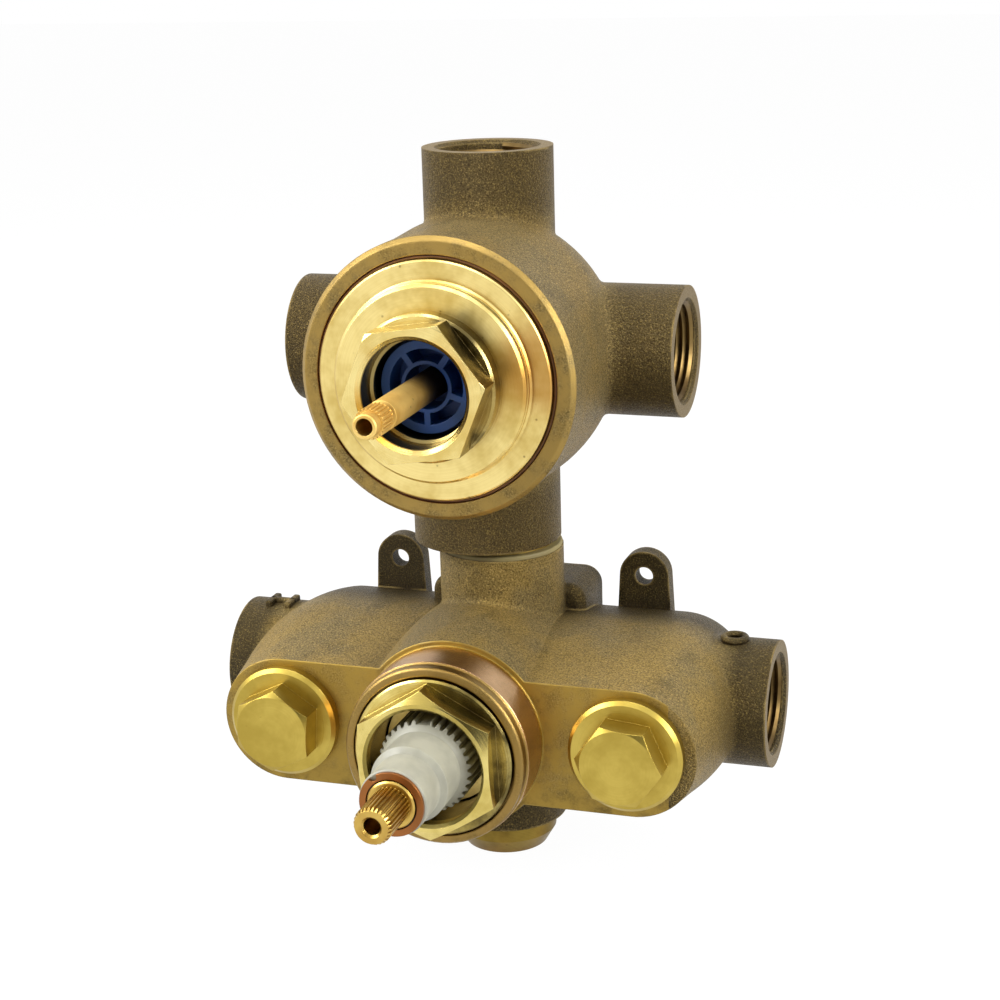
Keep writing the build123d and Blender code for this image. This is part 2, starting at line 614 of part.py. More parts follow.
# Nipple and the band of sealant that join the castings
def make_nipple():
    bottom = NECK_TOP - NIPPLE_ENGAGEMENT
    top = NECK_BOSS_BOTTOM + NIPPLE_ENGAGEMENT
    nipple = bar_up(NIPPLE_R, bottom, top, PORTS_DEPTH)
    nipple += bar_up(NIPPLE_FLANGE_R, NECK_TOP + SEALANT_THICK, NECK_BOSS_BOTTOM, PORTS_DEPTH)
    return nipple - bar_up(NIPPLE_BORE_R, bottom, top, PORTS_DEPTH)


def make_sealant():
    band = bar_up(SEALANT_R, NECK_TOP, NECK_TOP + SEALANT_THICK, PORTS_DEPTH, NECK_SHIFT)
    band = fillet(band.edges().filter_by(GeomType.CIRCLE).sort_by(Axis.Z)[-1:], 0.5)
    return band - bar_up(NIPPLE_R, NECK_TOP, NECK_TOP + SEALANT_THICK, PORTS_DEPTH)


def flank(side):
    """Points down one side of the mixer casting's section, from the machined face to the wall."""
    return [
        (side * FACE_R, -FACE_DEPTH),
        (side * CREASE_R, -CREASE_DEPTH),
        (side * PARTING_R, -PORTS_DEPTH),
        (side * REAR_EDGE_R, -REAR_EDGE_DEPTH),
        (side * WALL_FACE_R, 0),
    ]


def make_stadium():
    """Main bar of the mixer casting: round-ended, drafted both ways from the parting plane."""
    face_a, crease_a, parting_a, edge_a, wall_a = flank(1)
    face_b, crease_b, parting_b, edge_b, wall_b = flank(-1)
    centre_face = (0, -FACE_DEPTH)
    half = Line(centre_face, face_a) + Line(face_a, crease_a) + ThreePointArc(crease_a, parting_a, edge_a)
    half += Polyline(edge_a, wall_a, (0, 0), centre_face)
    whole = Line(face_a, crease_a) + ThreePointArc(crease_a, parting_a, edge_a)
    whole += Polyline(edge_a, wall_a, wall_b, edge_b)
    whole += ThreePointArc(edge_b, parting_b, crease_b) + Polyline(crease_b, face_b, face_a)
    end = revolve(make_face(half), Axis.Y)
    middle = MIXER_HEIGHT - BAR_DROP
    across = Plane(origin=(-BODY_HALF_SPAN, 0, middle), x_dir=(0, 0, 1), z_dir=(-1, 0, 0))
    bar = extrude(across * make_face(whole), 2 * BODY_HALF_SPAN, dir=(1, 0, 0))
    for side in (-1, 1):
        bar += Pos(side * BODY_HALF_SPAN, 0, middle) * end
    bar += bar_across(PORT_OUTER_R, -HOT_INLET_REACH, COLD_INLET_REACH, PORTS_DEPTH, MIXER_HEIGHT)
    return fillet(seams(bar, INLET_LINE, PORT_OUTER_R), CAST_FILLET)


def make_boss():
    """Round cartridge boss with the neck above it and the plug boss below it."""
    rear_edge = (BOSS_REAR_R - BOSS_REAR_EDGE, -BOSS_REAR_EDGE)
    outline = Polyline((0, -FACE_DEPTH), (0, 0), (BOSS_REAR_R - 2 * BOSS_REAR_EDGE, 0), rear_edge)
    outline += ThreePointArc(rear_edge, (BOSS_REAR_R, -BOSS_REAR_DEPTH), (BOSS_FRONT_R, -FACE_DEPTH))
    outline += Line((BOSS_FRONT_R, -FACE_DEPTH), (0, -FACE_DEPTH))
    boss = Pos(0, 0, MIXER_HEIGHT) * Rot(0, SEAM_TURN, 0) * revolve(make_face(outline), Axis.Y)
    boss += bar_up(NECK_R, MIXER_HEIGHT, NECK_TOP, PORTS_DEPTH, NECK_SHIFT)
    boss = fillet(seams(boss, NECK_LINE, NECK_R), CAST_FILLET)
    boss += bar_up(BOTTOM_BOSS_R, BOTTOM_BOSS_END, MIXER_HEIGHT, PORTS_DEPTH)
    return fillet(seams(boss, STACK_LINE, BOTTOM_BOSS_R), CAST_FILLET)


def make_ear(side):
    """Upright fixing ear with its hole, its foot inside the casting."""
    foot = MIXER_HEIGHT + EAR_FOOT_RISE
    middle = side * EAR_SPACING / 2
    plate = Pos(middle, 0) * Circle(EAR_R)
    flank = [
        (middle - EAR_R, 0),
        (middle + EAR_R, 0),
        (middle + EAR_FOOT_HALF_WIDTH, foot),
        (middle - EAR_FOOT_HALF_WIDTH, foot),
    ]
    plate += make_face(Polyline(*flank, close=True))
    return prism(plate, 0, EAR_THICK, 0)


# Mixer casting: the bar with its boss, neck, rear block, ears and cartridge collar
def make_mixer_body():
    body = make_stadium() + make_boss()
    block_width = REAR_BLOCK_RIGHT - REAR_BLOCK_LEFT
    block_height = REAR_BLOCK_TOP - MIXER_HEIGHT
    block_outline = Pos(0, block_height / 2) * RectangleRounded(block_width, block_height, REAR_BLOCK_CORNER)
    block_middle = (REAR_BLOCK_LEFT + REAR_BLOCK_RIGHT) / 2
    block = prism(block_outline, 0, REAR_BLOCK_DEPTH, MIXER_HEIGHT, block_middle)
    body += fillet(block.faces().sort_by(Axis.Y)[0].edges(), 2.5)
    for side in (-1, 1):
        body += make_ear(side)
    collar_step = COLLAR_FRONT_DEPTH - COLLAR_STEP_LENGTH
    lip_r = COLLAR_R - COLLAR_STEP
    body += turned(
        [
            (0, FACE_DEPTH),
            (COLLAR_R, FACE_DEPTH),
            (COLLAR_R, collar_step),
            (lip_r, collar_step + COLLAR_STEP),
            (lip_r, COLLAR_FRONT_DEPTH - COLLAR_STEP),
            (lip_r - COLLAR_STEP, COLLAR_FRONT_DEPTH),
            (0, COLLAR_FRONT_DEPTH),
        ],
        MIXER_HEIGHT,
    )
    for side in (-1, 1):
        body -= rod(EAR_HOLE_R, 0, EAR_THICK, 0, side * EAR_SPACING / 2)
    return body - mixer_waterways()


def mixer_waterways():
    """Everything bored into the mixer casting."""
    cut = rod(COLLAR_RECESS_R, NUT_SEAT, COLLAR_FRONT_DEPTH, MIXER_HEIGHT)
    cut += rod(CARTRIDGE_NUT_SHANK_R + THREAD_GAP, NUT_SHANK_END - 0.5, NUT_SEAT, MIXER_HEIGHT)
    cut += rod(CARTRIDGE_BORE_R, CARTRIDGE_BORE_END, NUT_SHANK_END, MIXER_HEIGHT)
    cut += bar_up(NIPPLE_R + THREAD_GAP, NECK_TOP - NIPPLE_ENGAGEMENT - 1, NECK_TOP, PORTS_DEPTH)
    cut += bar_up(INLET_WATERWAY_R, MIXER_HEIGHT, NECK_TOP, PORTS_DEPTH)
    cut += bar_up(PLUG_SHANK_R - 1.5, BOTTOM_BOSS_END, MIXER_HEIGHT, PORTS_DEPTH)
    plug_hole_end = BOTTOM_BOSS_END + PLUG_SHANK_LENGTH + 1
    cut += bar_up(PLUG_SHANK_R + THREAD_GAP, BOTTOM_BOSS_END, plug_hole_end, PORTS_DEPTH)
    hot = (-1, HOT_INLET_DEPTH, HOT_INLET_REACH)
    cold = (1, COLD_INLET_DEPTH, COLD_INLET_REACH)
    for side, passage_depth, reach in (hot, cold):
        middle = side * CAP_SPAN
        cut += port_bore_across(side, reach, INLET_WATERWAY_R, CAP_SPAN, MIXER_HEIGHT)
        cut += rod(CHAMBER_R, CHAMBER_END, FACE_DEPTH, MIXER_HEIGHT, middle)
        cut += rod(CAP_SHANK_R + THREAD_GAP, CAP_SHANK_END, FACE_DEPTH, MIXER_HEIGHT, middle)
        cut += rod(CAP_SHANK_R + 1.5, FACE_DEPTH - 1.6, FACE_DEPTH, MIXER_HEIGHT, middle)
        start, end = sorted((side * (CARTRIDGE_BORE_R - 1), middle))
        cut += bar_across(PASSAGE_R, start, end, passage_depth, MIXER_HEIGHT)
    return cut


# Flanged hex nut that holds the thermostatic cartridge
def make_cartridge_nut():
    hex_start = NUT_SEAT + CARTRIDGE_NUT_FLANGE
    hex_end = hex_start + CARTRIDGE_NUT_HEX
    face_r = CARTRIDGE_NUT_FACE_R
    nut = hex_head(CARTRIDGE_NUT_FLATS, CARTRIDGE_NUT_TURN, face_r, hex_start, hex_end, MIXER_HEIGHT)
    nut += turned(
        [
            (0, NUT_SEAT),
            (CARTRIDGE_NUT_FLANGE_R, NUT_SEAT),
            (CARTRIDGE_NUT_FLANGE_R, hex_start - 0.5),
            (CARTRIDGE_NUT_FLANGE_R - 0.5, hex_start),
            (0, hex_start),
        ],
        MIXER_HEIGHT,
    )
    nut += rod(CARTRIDGE_NUT_SHANK_R, NUT_SHANK_END, NUT_SEAT, MIXER_HEIGHT)
    bore = [
        (0, NUT_SHANK_END),
        (CARTRIDGE_NUT_BORE_R, NUT_SHANK_END),
        (CARTRIDGE_NUT_BORE_R, hex_end - 0.8),
        (CARTRIDGE_NUT_BORE_R + 0.8, hex_end),
        (0, hex_end),
    ]
    return nut - turned(bore, MIXER_HEIGHT)


# Head of the cartridge: guides the spindle and carries the stop sleeve
def make_cartridge_head():
    head = rod(HOUSING_R, HEAD_SEAT, NUT_SHANK_END, MIXER_HEIGHT)
    head += rod(CARTRIDGE_NUT_BORE_R - 0.3, NUT_SHANK_END, HEAD_FRONT, MIXER_HEIGHT)
    head += rod(HEAD_NOSE_R, HEAD_FRONT, HEAD_FRONT + HEAD_NOSE_LENGTH, MIXER_HEIGHT)
    bore_r = SPINDLE_JOURNAL_R + RUNNING_FIT
    return head - rod(bore_r, HEAD_SEAT, HEAD_FRONT + HEAD_NOSE_LENGTH, MIXER_HEIGHT)


# White stop sleeve: toothed at the back, two plain steps in front
def make_stop_sleeve():
    root_r = SLEEVE_REAR_R - SLEEVE_TOOTH
    bevel_start = SLEEVE_STEP - SLEEVE_TOOTH_BEVEL
    teeth = splined(SLEEVE_REAR_R, SLEEVE_TOOTH, SLEEVE_TEETH, SLEEVE_REAR, SLEEVE_STEP, MIXER_HEIGHT)
    bevel = [(0, SLEEVE_REAR), (SLEEVE_REAR_R + 1, SLEEVE_REAR), (SLEEVE_REAR_R + 1, bevel_start)]
    bevel += [(SLEEVE_REAR_R, bevel_start), (root_r, SLEEVE_STEP), (0, SLEEVE_STEP)]
    sleeve = teeth & turned(bevel, MIXER_HEIGHT)
    gap = Pos(0, root_r + SLEEVE_TOOTH) * Rectangle(2 * SLEEVE_PLAIN_HALF_WIDTH, 2 * SLEEVE_TOOTH)
    sleeve -= prism(gap, SLEEVE_REAR, SLEEVE_STEP, MIXER_HEIGHT)
    steps = [
        (0, SLEEVE_STEP),
        (root_r, SLEEVE_STEP),
        (SLEEVE_MIDDLE_R, SLEEVE_STEP + root_r - SLEEVE_MIDDLE_R),
        (SLEEVE_MIDDLE_R, SLEEVE_SHOULDER - SLEEVE_STEP_FILLET),
        (SLEEVE_FRONT_R, SLEEVE_SHOULDER),
        (SLEEVE_FRONT_R, SLEEVE_FRONT - 0.4),
        (SLEEVE_FRONT_R - 0.4, SLEEVE_FRONT),
        (0, SLEEVE_FRONT),
    ]
    sleeve += turned(steps, MIXER_HEIGHT)
    sleeve -= rod(SLEEVE_BORE_R, SLEEVE_REAR, SLEEVE_FRONT, MIXER_HEIGHT)
    seat_end = HEAD_FRONT + HEAD_NOSE_LENGTH + 0.3
    return sleeve - rod(HEAD_NOSE_R + SEAT_GAP, SLEEVE_REAR, seat_end, MIXER_HEIGHT)


# Copper-brown ring on the sleeve's front, with a notch at its upper left
def make_sleeve_washer():
    washer = ring(WASHER_R, WASHER_BORE_R, SLEEVE_FRONT, WASHER_FRONT, MIXER_HEIGHT)
    notch = Rot(0, 0, 125) * Pos(WASHER_R, 0) * Circle(WASHER_NOTCH)
    return washer - prism(notch, SLEEVE_FRONT, WASHER_FRONT, MIXER_HEIGHT)


LOWER_SEAL_WIRE = 0.7
LOWER_SEAL_DEPTH = NUT_SHANK_END + 2.5


# Temperature spindle: regulating thread, collar, journal, shaft and splined head
def make_temperature_spindle():
    journal_front = HEAD_FRONT + HEAD_NOSE_LENGTH
    spline_rear = WASHER_FRONT + 0.5
    seal_floor = SPINDLE_JOURNAL_R - 2 * LOWER_SEAL_WIRE
    seal_half = LOWER_SEAL_WIRE + 0.15
    root_r = SPINDLE_SPLINE_R - SPINDLE_TOOTH
    front_r = SLEEVE_BORE_R - RUNNING_FIT
    outline = [
        (0, COLLAR_REAR - SPINDLE_THREAD_LENGTH),
        (SPINDLE_THREAD_R, COLLAR_REAR - SPINDLE_THREAD_LENGTH),
        (SPINDLE_THREAD_R, COLLAR_REAR),
        (SPINDLE_COLLAR_R, COLLAR_REAR),
        (SPINDLE_COLLAR_R, COLLAR_TOP),
        (SPINDLE_JOURNAL_R, COLLAR_TOP),
        (SPINDLE_JOURNAL_R, LOWER_SEAL_DEPTH - seal_half),
        (seal_floor, LOWER_SEAL_DEPTH - seal_half),
        (seal_floor, LOWER_SEAL_DEPTH + seal_half),
        (SPINDLE_JOURNAL_R, LOWER_SEAL_DEPTH + seal_half),
        (SPINDLE_JOURNAL_R, journal_front),
        (SPINDLE_SHAFT_R, journal_front + 0.5),
        (SPINDLE_SHAFT_R, SLEEVE_SHOULDER),
        (front_r, SLEEVE_SHOULDER),
        (front_r, spline_rear - 0.4),
        (front_r - 0.4, spline_rear),
        (0, spline_rear),
    ]
    spindle = turned(outline, MIXER_HEIGHT)
    tip = SPINDLE_TIP
    head = splined(SPINDLE_SPLINE_R, SPINDLE_TOOTH, SPINDLE_TEETH, spline_rear, tip, MIXER_HEIGHT)
    bevel = [(0, spline_rear), (SPINDLE_JOURNAL_R, spline_rear), (SPINDLE_JOURNAL_R, tip - 1.4)]
    bevel += [(root_r, tip), (0, tip)]
    spindle += head & turned(bevel, MIXER_HEIGHT)
    screw = [
        (0, tip - SPINDLE_SCREW_DEPTH),
        (SPINDLE_SCREW_R, tip - SPINDLE_SCREW_DEPTH),
        (SPINDLE_SCREW_R, tip - 0.6),
        (SPINDLE_SCREW_R + 0.6, tip),
        (0, tip),
    ]
    return spindle - turned(screw, MIXER_HEIGHT)


HOUSING_SEAL_DEPTHS = (58.5, (HOT_INLET_DEPTH + COLD_INLET_DEPTH) / 2, 33.5)
HOUSING_SEAL_MIDDLE = HOUSING_R - SEAL_WIRE_R + 0.15


# Housing of the thermostatic cartridge: hot and cold windows, seal grooves, lip for the return spring
def make_cartridge_housing():
    lip_front = HOUSING_REAR_DEPTH + HOUSING_LIP_THICK
    housing = rod(HOUSING_R, HOUSING_REAR_DEPTH, HEAD_SEAT, MIXER_HEIGHT)
    housing -= rod(HOUSING_INNER_R, lip_front, HEAD_SEAT, MIXER_HEIGHT)
    housing -= rod(HOUSING_LIP_R, HOUSING_REAR_DEPTH, lip_front, MIXER_HEIGHT)
    slots = Circle(HOUSING_R + 1) - Circle(HOUSING_INNER_R - 1)
    for angle in (45, 135):
        slots -= Rot(0, 0, angle) * Rectangle(3 * HOUSING_R, 6.0)
    for depth in (HOT_INLET_DEPTH, COLD_INLET_DEPTH):
        housing -= prism(slots, depth - HOUSING_WINDOW / 2, depth + HOUSING_WINDOW / 2, MIXER_HEIGHT)
    floor = HOUSING_SEAL_MIDDLE - SEAL_WIRE_R - 0.05
    half = SEAL_WIRE_R + SEAT_GAP
    for depth in HOUSING_SEAL_DEPTHS:
        housing -= ring(HOUSING_R + 1, floor, depth - half, depth + half, MIXER_HEIGHT)
    return housing


def make_housing_seals():
    seals = []
    for depth in HOUSING_SEAL_DEPTHS:
        seals.append(seal_ring(HOUSING_SEAL_MIDDLE, SEAL_WIRE_R, depth, MIXER_HEIGHT))
    return seals


# Regulating nut: driven by the spindle's thread, holds the overload spring
def make_regulating_nut():
    nut = rod(REGULATING_NUT_R, REGULATING_REAR, REGULATING_TOP, MIXER_HEIGHT)
    key = Rectangle(2 * HOUSING_INNER_R - 0.8, 4.0)
    nut += prism(key, REGULATING_TOP - 3.0, REGULATING_TOP, MIXER_HEIGHT)
    nut -= rod(SPINDLE_THREAD_R + RUNNING_FIT, REGULATING_SOCKET, REGULATING_TOP, MIXER_HEIGHT)
    return nut - rod(REGULATING_NUT_SOCKET_R, REGULATING_REAR, REGULATING_SOCKET, MIXER_HEIGHT)


def make_wax_element():
    """Wax element: cap under the overload spring, sensing body and the flange that holds the shuttle."""
    flange_front = SHUTTLE_REAR
    body_rear = WAX_CAP_REAR - WAX_BODY_LENGTH
    outline = [
        (0, body_rear),
        (WAX_BODY_R - 1.2, body_rear),
        (WAX_BODY_R, body_rear + 1.2),
        (WAX_BODY_R, flange_front - WAX_FLANGE_THICK),
        (WAX_FLANGE_R, flange_front - WAX_FLANGE_THICK),
        (WAX_FLANGE_R, flange_front),
        (WAX_BODY_R, flange_front),
        (WAX_BODY_R, WAX_CAP_REAR),
        (WAX_CAP_R, WAX_CAP_REAR),
        (WAX_CAP_R, WAX_TOP),
        (0, WAX_TOP),
    ]
    return turned(outline, MIXER_HEIGHT)


# Shuttle: ring between the hot and cold windows, on a holed web
def make_shuttle():
    ring_r = HOUSING_INNER_R - 0.1
    web_front = SHUTTLE_REAR + SHUTTLE_WEB_THICK
    hub_front = WAX_CAP_REAR - 0.2
    shuttle = ring(ring_r, ring_r - SHUTTLE_WALL, SHUTTLE_REAR, SHUTTLE_TOP, MIXER_HEIGHT)
    shuttle += ring(ring_r - SHUTTLE_WALL / 2, WAX_BODY_R, SHUTTLE_REAR, web_front, MIXER_HEIGHT)
    shuttle += ring(SHUTTLE_HUB_R, WAX_BODY_R, SHUTTLE_REAR, hub_front, MIXER_HEIGHT)
    hole_offset = (ring_r - SHUTTLE_WALL + SHUTTLE_HUB_R) / 2
    for location in PolarLocations(hole_offset, 8):
        shuttle -= prism(location * Circle(1.5), SHUTTLE_REAR, web_front, MIXER_HEIGHT)
    return shuttle


# Flanged hex cap that closes a side inlet
def make_cap(middle, turn):
    flange_front = FACE_DEPTH + CAP_FLANGE_THICK
    head_front = flange_front + CAP_HEAD
    cap = hex_head(CAP_FLATS, turn, CAP_FACE_R, flange_front, head_front, MIXER_HEIGHT, middle)
    outline = [
        (0, CAP_SHANK_END),
        (CAP_SHANK_R, CAP_SHANK_END),
        (CAP_SHANK_R, FACE_DEPTH),
        (CAP_FLANGE_R, FACE_DEPTH),
        (CAP_FLANGE_R, flange_front - 1.0),
        (CAP_FLANGE_R - 1.0, flange_front),
        (0, flange_front),
    ]
    return cap + turned(outline, MIXER_HEIGHT, middle)


# Strainer: slotted tube in the inlet chamber
def make_strainer(middle):
    rear = CHAMBER_END + SEAT_GAP
    front = CHECK_SEAT_DEPTH - SEAT_GAP
    tube = ring(STRAINER_R, STRAINER_R - STRAINER_WALL, rear, front, MIXER_HEIGHT, middle)
    slots = Sketch()
    for location in PolarLocations(STRAINER_R, STRAINER_SLOTS):
        slots += location * Rectangle(4 * STRAINER_WALL, 1.6)
    for level in range(3):
        start = rear + 2.0 + 5.4 * level
        tube -= prism(slots, start, start + 3.8, MIXER_HEIGHT, middle)
    return tube


# Check valve: cage with its seat, sprung poppet and spring
def make_check_cage(middle):
    hub_rear = CHECK_CAGE_FRONT - CHECK_HUB_LENGTH
    outer_r = CHAMBER_R - 2 * SEAT_GAP
    cage = ring(outer_r, CHECK_SEAT_BORE_R, CHECK_SEAT_DEPTH, CHECK_SEAT_FRONT, MIXER_HEIGHT, middle)
    leg = Pos((outer_r + POPPET_R + 0.3) / 2, 0) * Rectangle(outer_r - POPPET_R - 0.3, CHECK_LEG_WIDTH)
    arm = Pos((outer_r + CHECK_HUB_R) / 2 - 0.5, 0) * Rectangle(outer_r - CHECK_HUB_R, CHECK_LEG_WIDTH)
    inside = Circle(outer_r)
    for angle in (90, 210, 330):
        for piece, start in ((leg, CHECK_SEAT_FRONT), (arm, hub_rear)):
            outline = (Rot(0, 0, angle) * piece) & inside
            cage += prism(outline, start, CHECK_CAGE_FRONT, MIXER_HEIGHT, middle)
    cage += rod(CHECK_HUB_R, hub_rear, CHECK_CAGE_FRONT, MIXER_HEIGHT, middle)
    return cage - rod(POPPET_STEM_R + RUNNING_FIT, hub_rear, CHECK_CAGE_FRONT, MIXER_HEIGHT, middle)


def make_check_poppet(middle):
    outline = [
        (0, CHECK_SEAT_FRONT - 2.0),
        (CHECK_SEAT_BORE_R - 1.5, CHECK_SEAT_FRONT - 2.0),
        (CHECK_SEAT_BORE_R - 0.4, CHECK_SEAT_FRONT),
        (POPPET_R, CHECK_SEAT_FRONT),
        (POPPET_R, POPPET_FRONT),
        (POPPET_STEM_R, POPPET_FRONT),
        (POPPET_STEM_R, CHECK_CAGE_FRONT + 1.0),
        (0, CHECK_CAGE_FRONT + 1.0),
    ]
    return turned(outline, MIXER_HEIGHT, middle)


def make_check_spring(middle):
    end = CHECK_CAGE_FRONT - CHECK_HUB_LENGTH
    return coil(CHECK_SPRING_R, CHECK_SPRING_WIRE_R, 4, POPPET_FRONT, end, MIXER_HEIGHT, middle)


# Plug that closes the outlet underneath
def make_bottom_plug():
    seat = BOTTOM_BOSS_END
    outline = [
        (0, seat + PLUG_SHANK_LENGTH),
        (PLUG_SHANK_R, seat + PLUG_SHANK_LENGTH),
        (PLUG_SHANK_R, seat),
        (PLUG_R, seat),
        (PLUG_R, seat - PLUG_FLANGE),
        (PLUG_NOSE_R, seat - PLUG_HEAD),
        (0, seat - PLUG_HEAD),
    ]
    plug = revolve(Plane.XZ * make_face(Polyline(*outline, close=True)), Axis.Z)
    socket = extrude(hexagon(PLUG_SOCKET_FLATS, 0), PLUG_SOCKET_DEPTH)
    return Pos(0, -PORTS_DEPTH, 0) * (plug - Pos(0, 0, seat - PLUG_HEAD) * socket)


def make_spring(middle_r, start, end):
    """Spring of the thermostatic cartridge."""
    return coil(middle_r, SPRING_WIRE_R, 3, start, end, MIXER_HEIGHT)


def make_pieces():
    """Every piece of the valve by its node's name."""
    disc_r = CAGE_R - SEAT_GAP
    seal_middle = DIVERTER_SPINDLE_R - UPPER_SEAL_WIRE
    lower_middle = SPINDLE_JOURNAL_R - LOWER_SEAL_WIRE
    spring_rear = HOUSING_REAR_DEPTH + HOUSING_LIP_THICK
    pieces = {
        "diverter_body": make_diverter_body(),
        "diverter_bonnet": make_bonnet(),
        "bonnet_seal": seal_ring(BONNET_SHANK_R - 0.85, 0.8, BONNET_SEAT - 1.3, DIVERTER_HEIGHT),
        "diverter_nut": make_diverter_nut(),
        "cartridge_cage": make_cage(),
        "base_seal": disc_with_ports(disc_r, DISC_SEAT_DEPTH, BASE_SEAL_FRONT, (0, 90, 180)),
        "fixed_disc": disc_with_ports(disc_r, BASE_SEAL_FRONT, FIXED_DISC_FRONT, (0, 90, 180)),
        "moving_disc": disc_with_ports(CAGE_R - CAGE_WALL - 0.2, FIXED_DISC_FRONT, MOVING_DISC_FRONT, (90,))
        - drive_lugs(SEAT_GAP),
        "drive_plate": make_drive_plate(),
        "diverter_spindle": make_diverter_spindle(),
        "diverter_spindle_seal": seal_ring(seal_middle, UPPER_SEAL_WIRE, UPPER_SEAL_DEPTH, DIVERTER_HEIGHT),
        "joint_nipple": make_nipple(),
        "joint_sealant": make_sealant(),
        "mixer_body": make_mixer_body(),
        "cartridge_nut": make_cartridge_nut(),
        "cartridge_head": make_cartridge_head(),
        "stop_sleeve": make_stop_sleeve(),
        "sleeve_washer": make_sleeve_washer(),
        "temperature_spindle": make_temperature_spindle(),
        "temperature_spindle_seal": seal_ring(lower_middle, LOWER_SEAL_WIRE, LOWER_SEAL_DEPTH, MIXER_HEIGHT),
        "cartridge_housing": make_cartridge_housing(),
        "housing_seals": Compound(children=make_housing_seals()),
        "regulating_nut": make_regulating_nut(),
        "overload_spring": make_spring(OVERLOAD_SPRING_R, WAX_TOP, REGULATING_SOCKET),
        "wax_element": make_wax_element(),
        "shuttle": make_shuttle(),
        "return_spring": make_spring(RETURN_SPRING_R, spring_rear, SHUTTLE_REAR),
        "bottom_plug": make_bottom_plug(),
    }
    for name, side, turn in (("hot", -1, HOT_CAP_TURN), ("cold", 1, COLD_CAP_TURN)):
        middle = side * CAP_SPAN
        pieces[name + "_cap"] = make_cap(middle, turn)
        seal = seal_ring(CAP_SHANK_R + 0.7, 0.65, FACE_DEPTH - 0.8, MIXER_HEIGHT, middle)
        pieces[name + "_cap_seal"] = seal
        pieces[name + "_strainer"] = make_strainer(middle)
        pieces[name + "_check_cage"] = make_check_cage(middle)
        pieces[name + "_check_poppet"] = make_check_poppet(middle)
        pieces[name + "_check_spring"] = make_check_spring(middle)
    return pieces


def main():
    os.makedirs("parts", exist_ok=True)
    for node, piece in make_pieces().items():
        export_step(piece, "parts/" + node + ".step")


if __name__ == "__main__":
    main()
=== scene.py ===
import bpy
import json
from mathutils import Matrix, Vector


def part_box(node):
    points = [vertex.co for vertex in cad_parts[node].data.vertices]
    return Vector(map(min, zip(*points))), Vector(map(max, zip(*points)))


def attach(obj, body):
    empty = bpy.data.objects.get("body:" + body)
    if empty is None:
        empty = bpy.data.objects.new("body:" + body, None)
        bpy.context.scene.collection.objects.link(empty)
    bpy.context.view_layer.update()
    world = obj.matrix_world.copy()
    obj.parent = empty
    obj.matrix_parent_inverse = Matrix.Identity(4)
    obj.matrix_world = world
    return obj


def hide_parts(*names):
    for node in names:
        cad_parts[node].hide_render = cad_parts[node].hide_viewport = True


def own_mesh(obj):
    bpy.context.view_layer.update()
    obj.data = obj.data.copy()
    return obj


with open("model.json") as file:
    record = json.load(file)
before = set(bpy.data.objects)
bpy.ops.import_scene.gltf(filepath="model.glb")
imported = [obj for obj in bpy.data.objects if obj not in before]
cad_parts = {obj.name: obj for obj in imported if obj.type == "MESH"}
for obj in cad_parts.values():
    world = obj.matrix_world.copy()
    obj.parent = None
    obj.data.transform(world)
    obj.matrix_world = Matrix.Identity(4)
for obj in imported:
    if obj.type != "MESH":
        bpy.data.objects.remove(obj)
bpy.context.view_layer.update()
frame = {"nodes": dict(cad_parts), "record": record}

import json
import logging
import math
from dataclasses import dataclass, field
from enum import Enum

import bpy
from mathutils import Matrix, Vector

MM = 0.001
DIVERTER_HEIGHT = 67.5
MIXER_HEIGHT = -26.6
PORTS_DEPTH = 22.8
PORT_RADIUS = 16.95
CAP_SPAN = 46.4
AIM = Vector((0, -0.05, 0.03))

log = logging.getLogger("valve")


class Side(Enum):
    """The two sides of the valve, seen from the room."""

    HOT = -1
    COLD = 1


class DirtAndShade(Enum):
    """What settles on the brass and the plastic, and the painted shade on them, as 0-255 screen colours."""

    TARNISH = (196, 146, 62)
    PIT = (84, 60, 28)
    # darker patches on the right flats of the nuts
    FLATS_DARK = (84, 72, 42)
    # painted shade inside a nut's bore
    BORE_SHADE = (64, 44, 20)
    # painted shade on the right of the bonnet flange
    FLANGE_SHADE = (176, 118, 42)
    # painted shade at the base of a spindle
    BASE_SHADE = (70, 44, 20)
    # painted shade in the hollows of machined brass
    HOLLOW_SHADE = (110, 74, 30)
    # dust and painted shade in the hollows of plastic, copper and the groove bead
    DUST_AND_SHADE = (96, 88, 58)


class Colour:
    """Colours as a designer picks them, turned into linear values."""

    @staticmethod
    def linear(red: int, green: int, blue: int) -> tuple[float, float, float, float]:
        """Turn 0-255 screen values into the linear values that shaders take.

        Args:
            red: Red on the screen, 0 to 255.
            green: Green on the screen, 0 to 255.
            blue: Blue on the screen, 0 to 255.

        Returns:
            The linear colour with full alpha.
        """
        parts = []
        for value in (red, green, blue):
            share = value / 255
            parts.append(share / 12.92 if share <= 0.04045 else ((share + 0.055) / 1.055) ** 2.4)
        return (parts[0], parts[1], parts[2], 1.0)


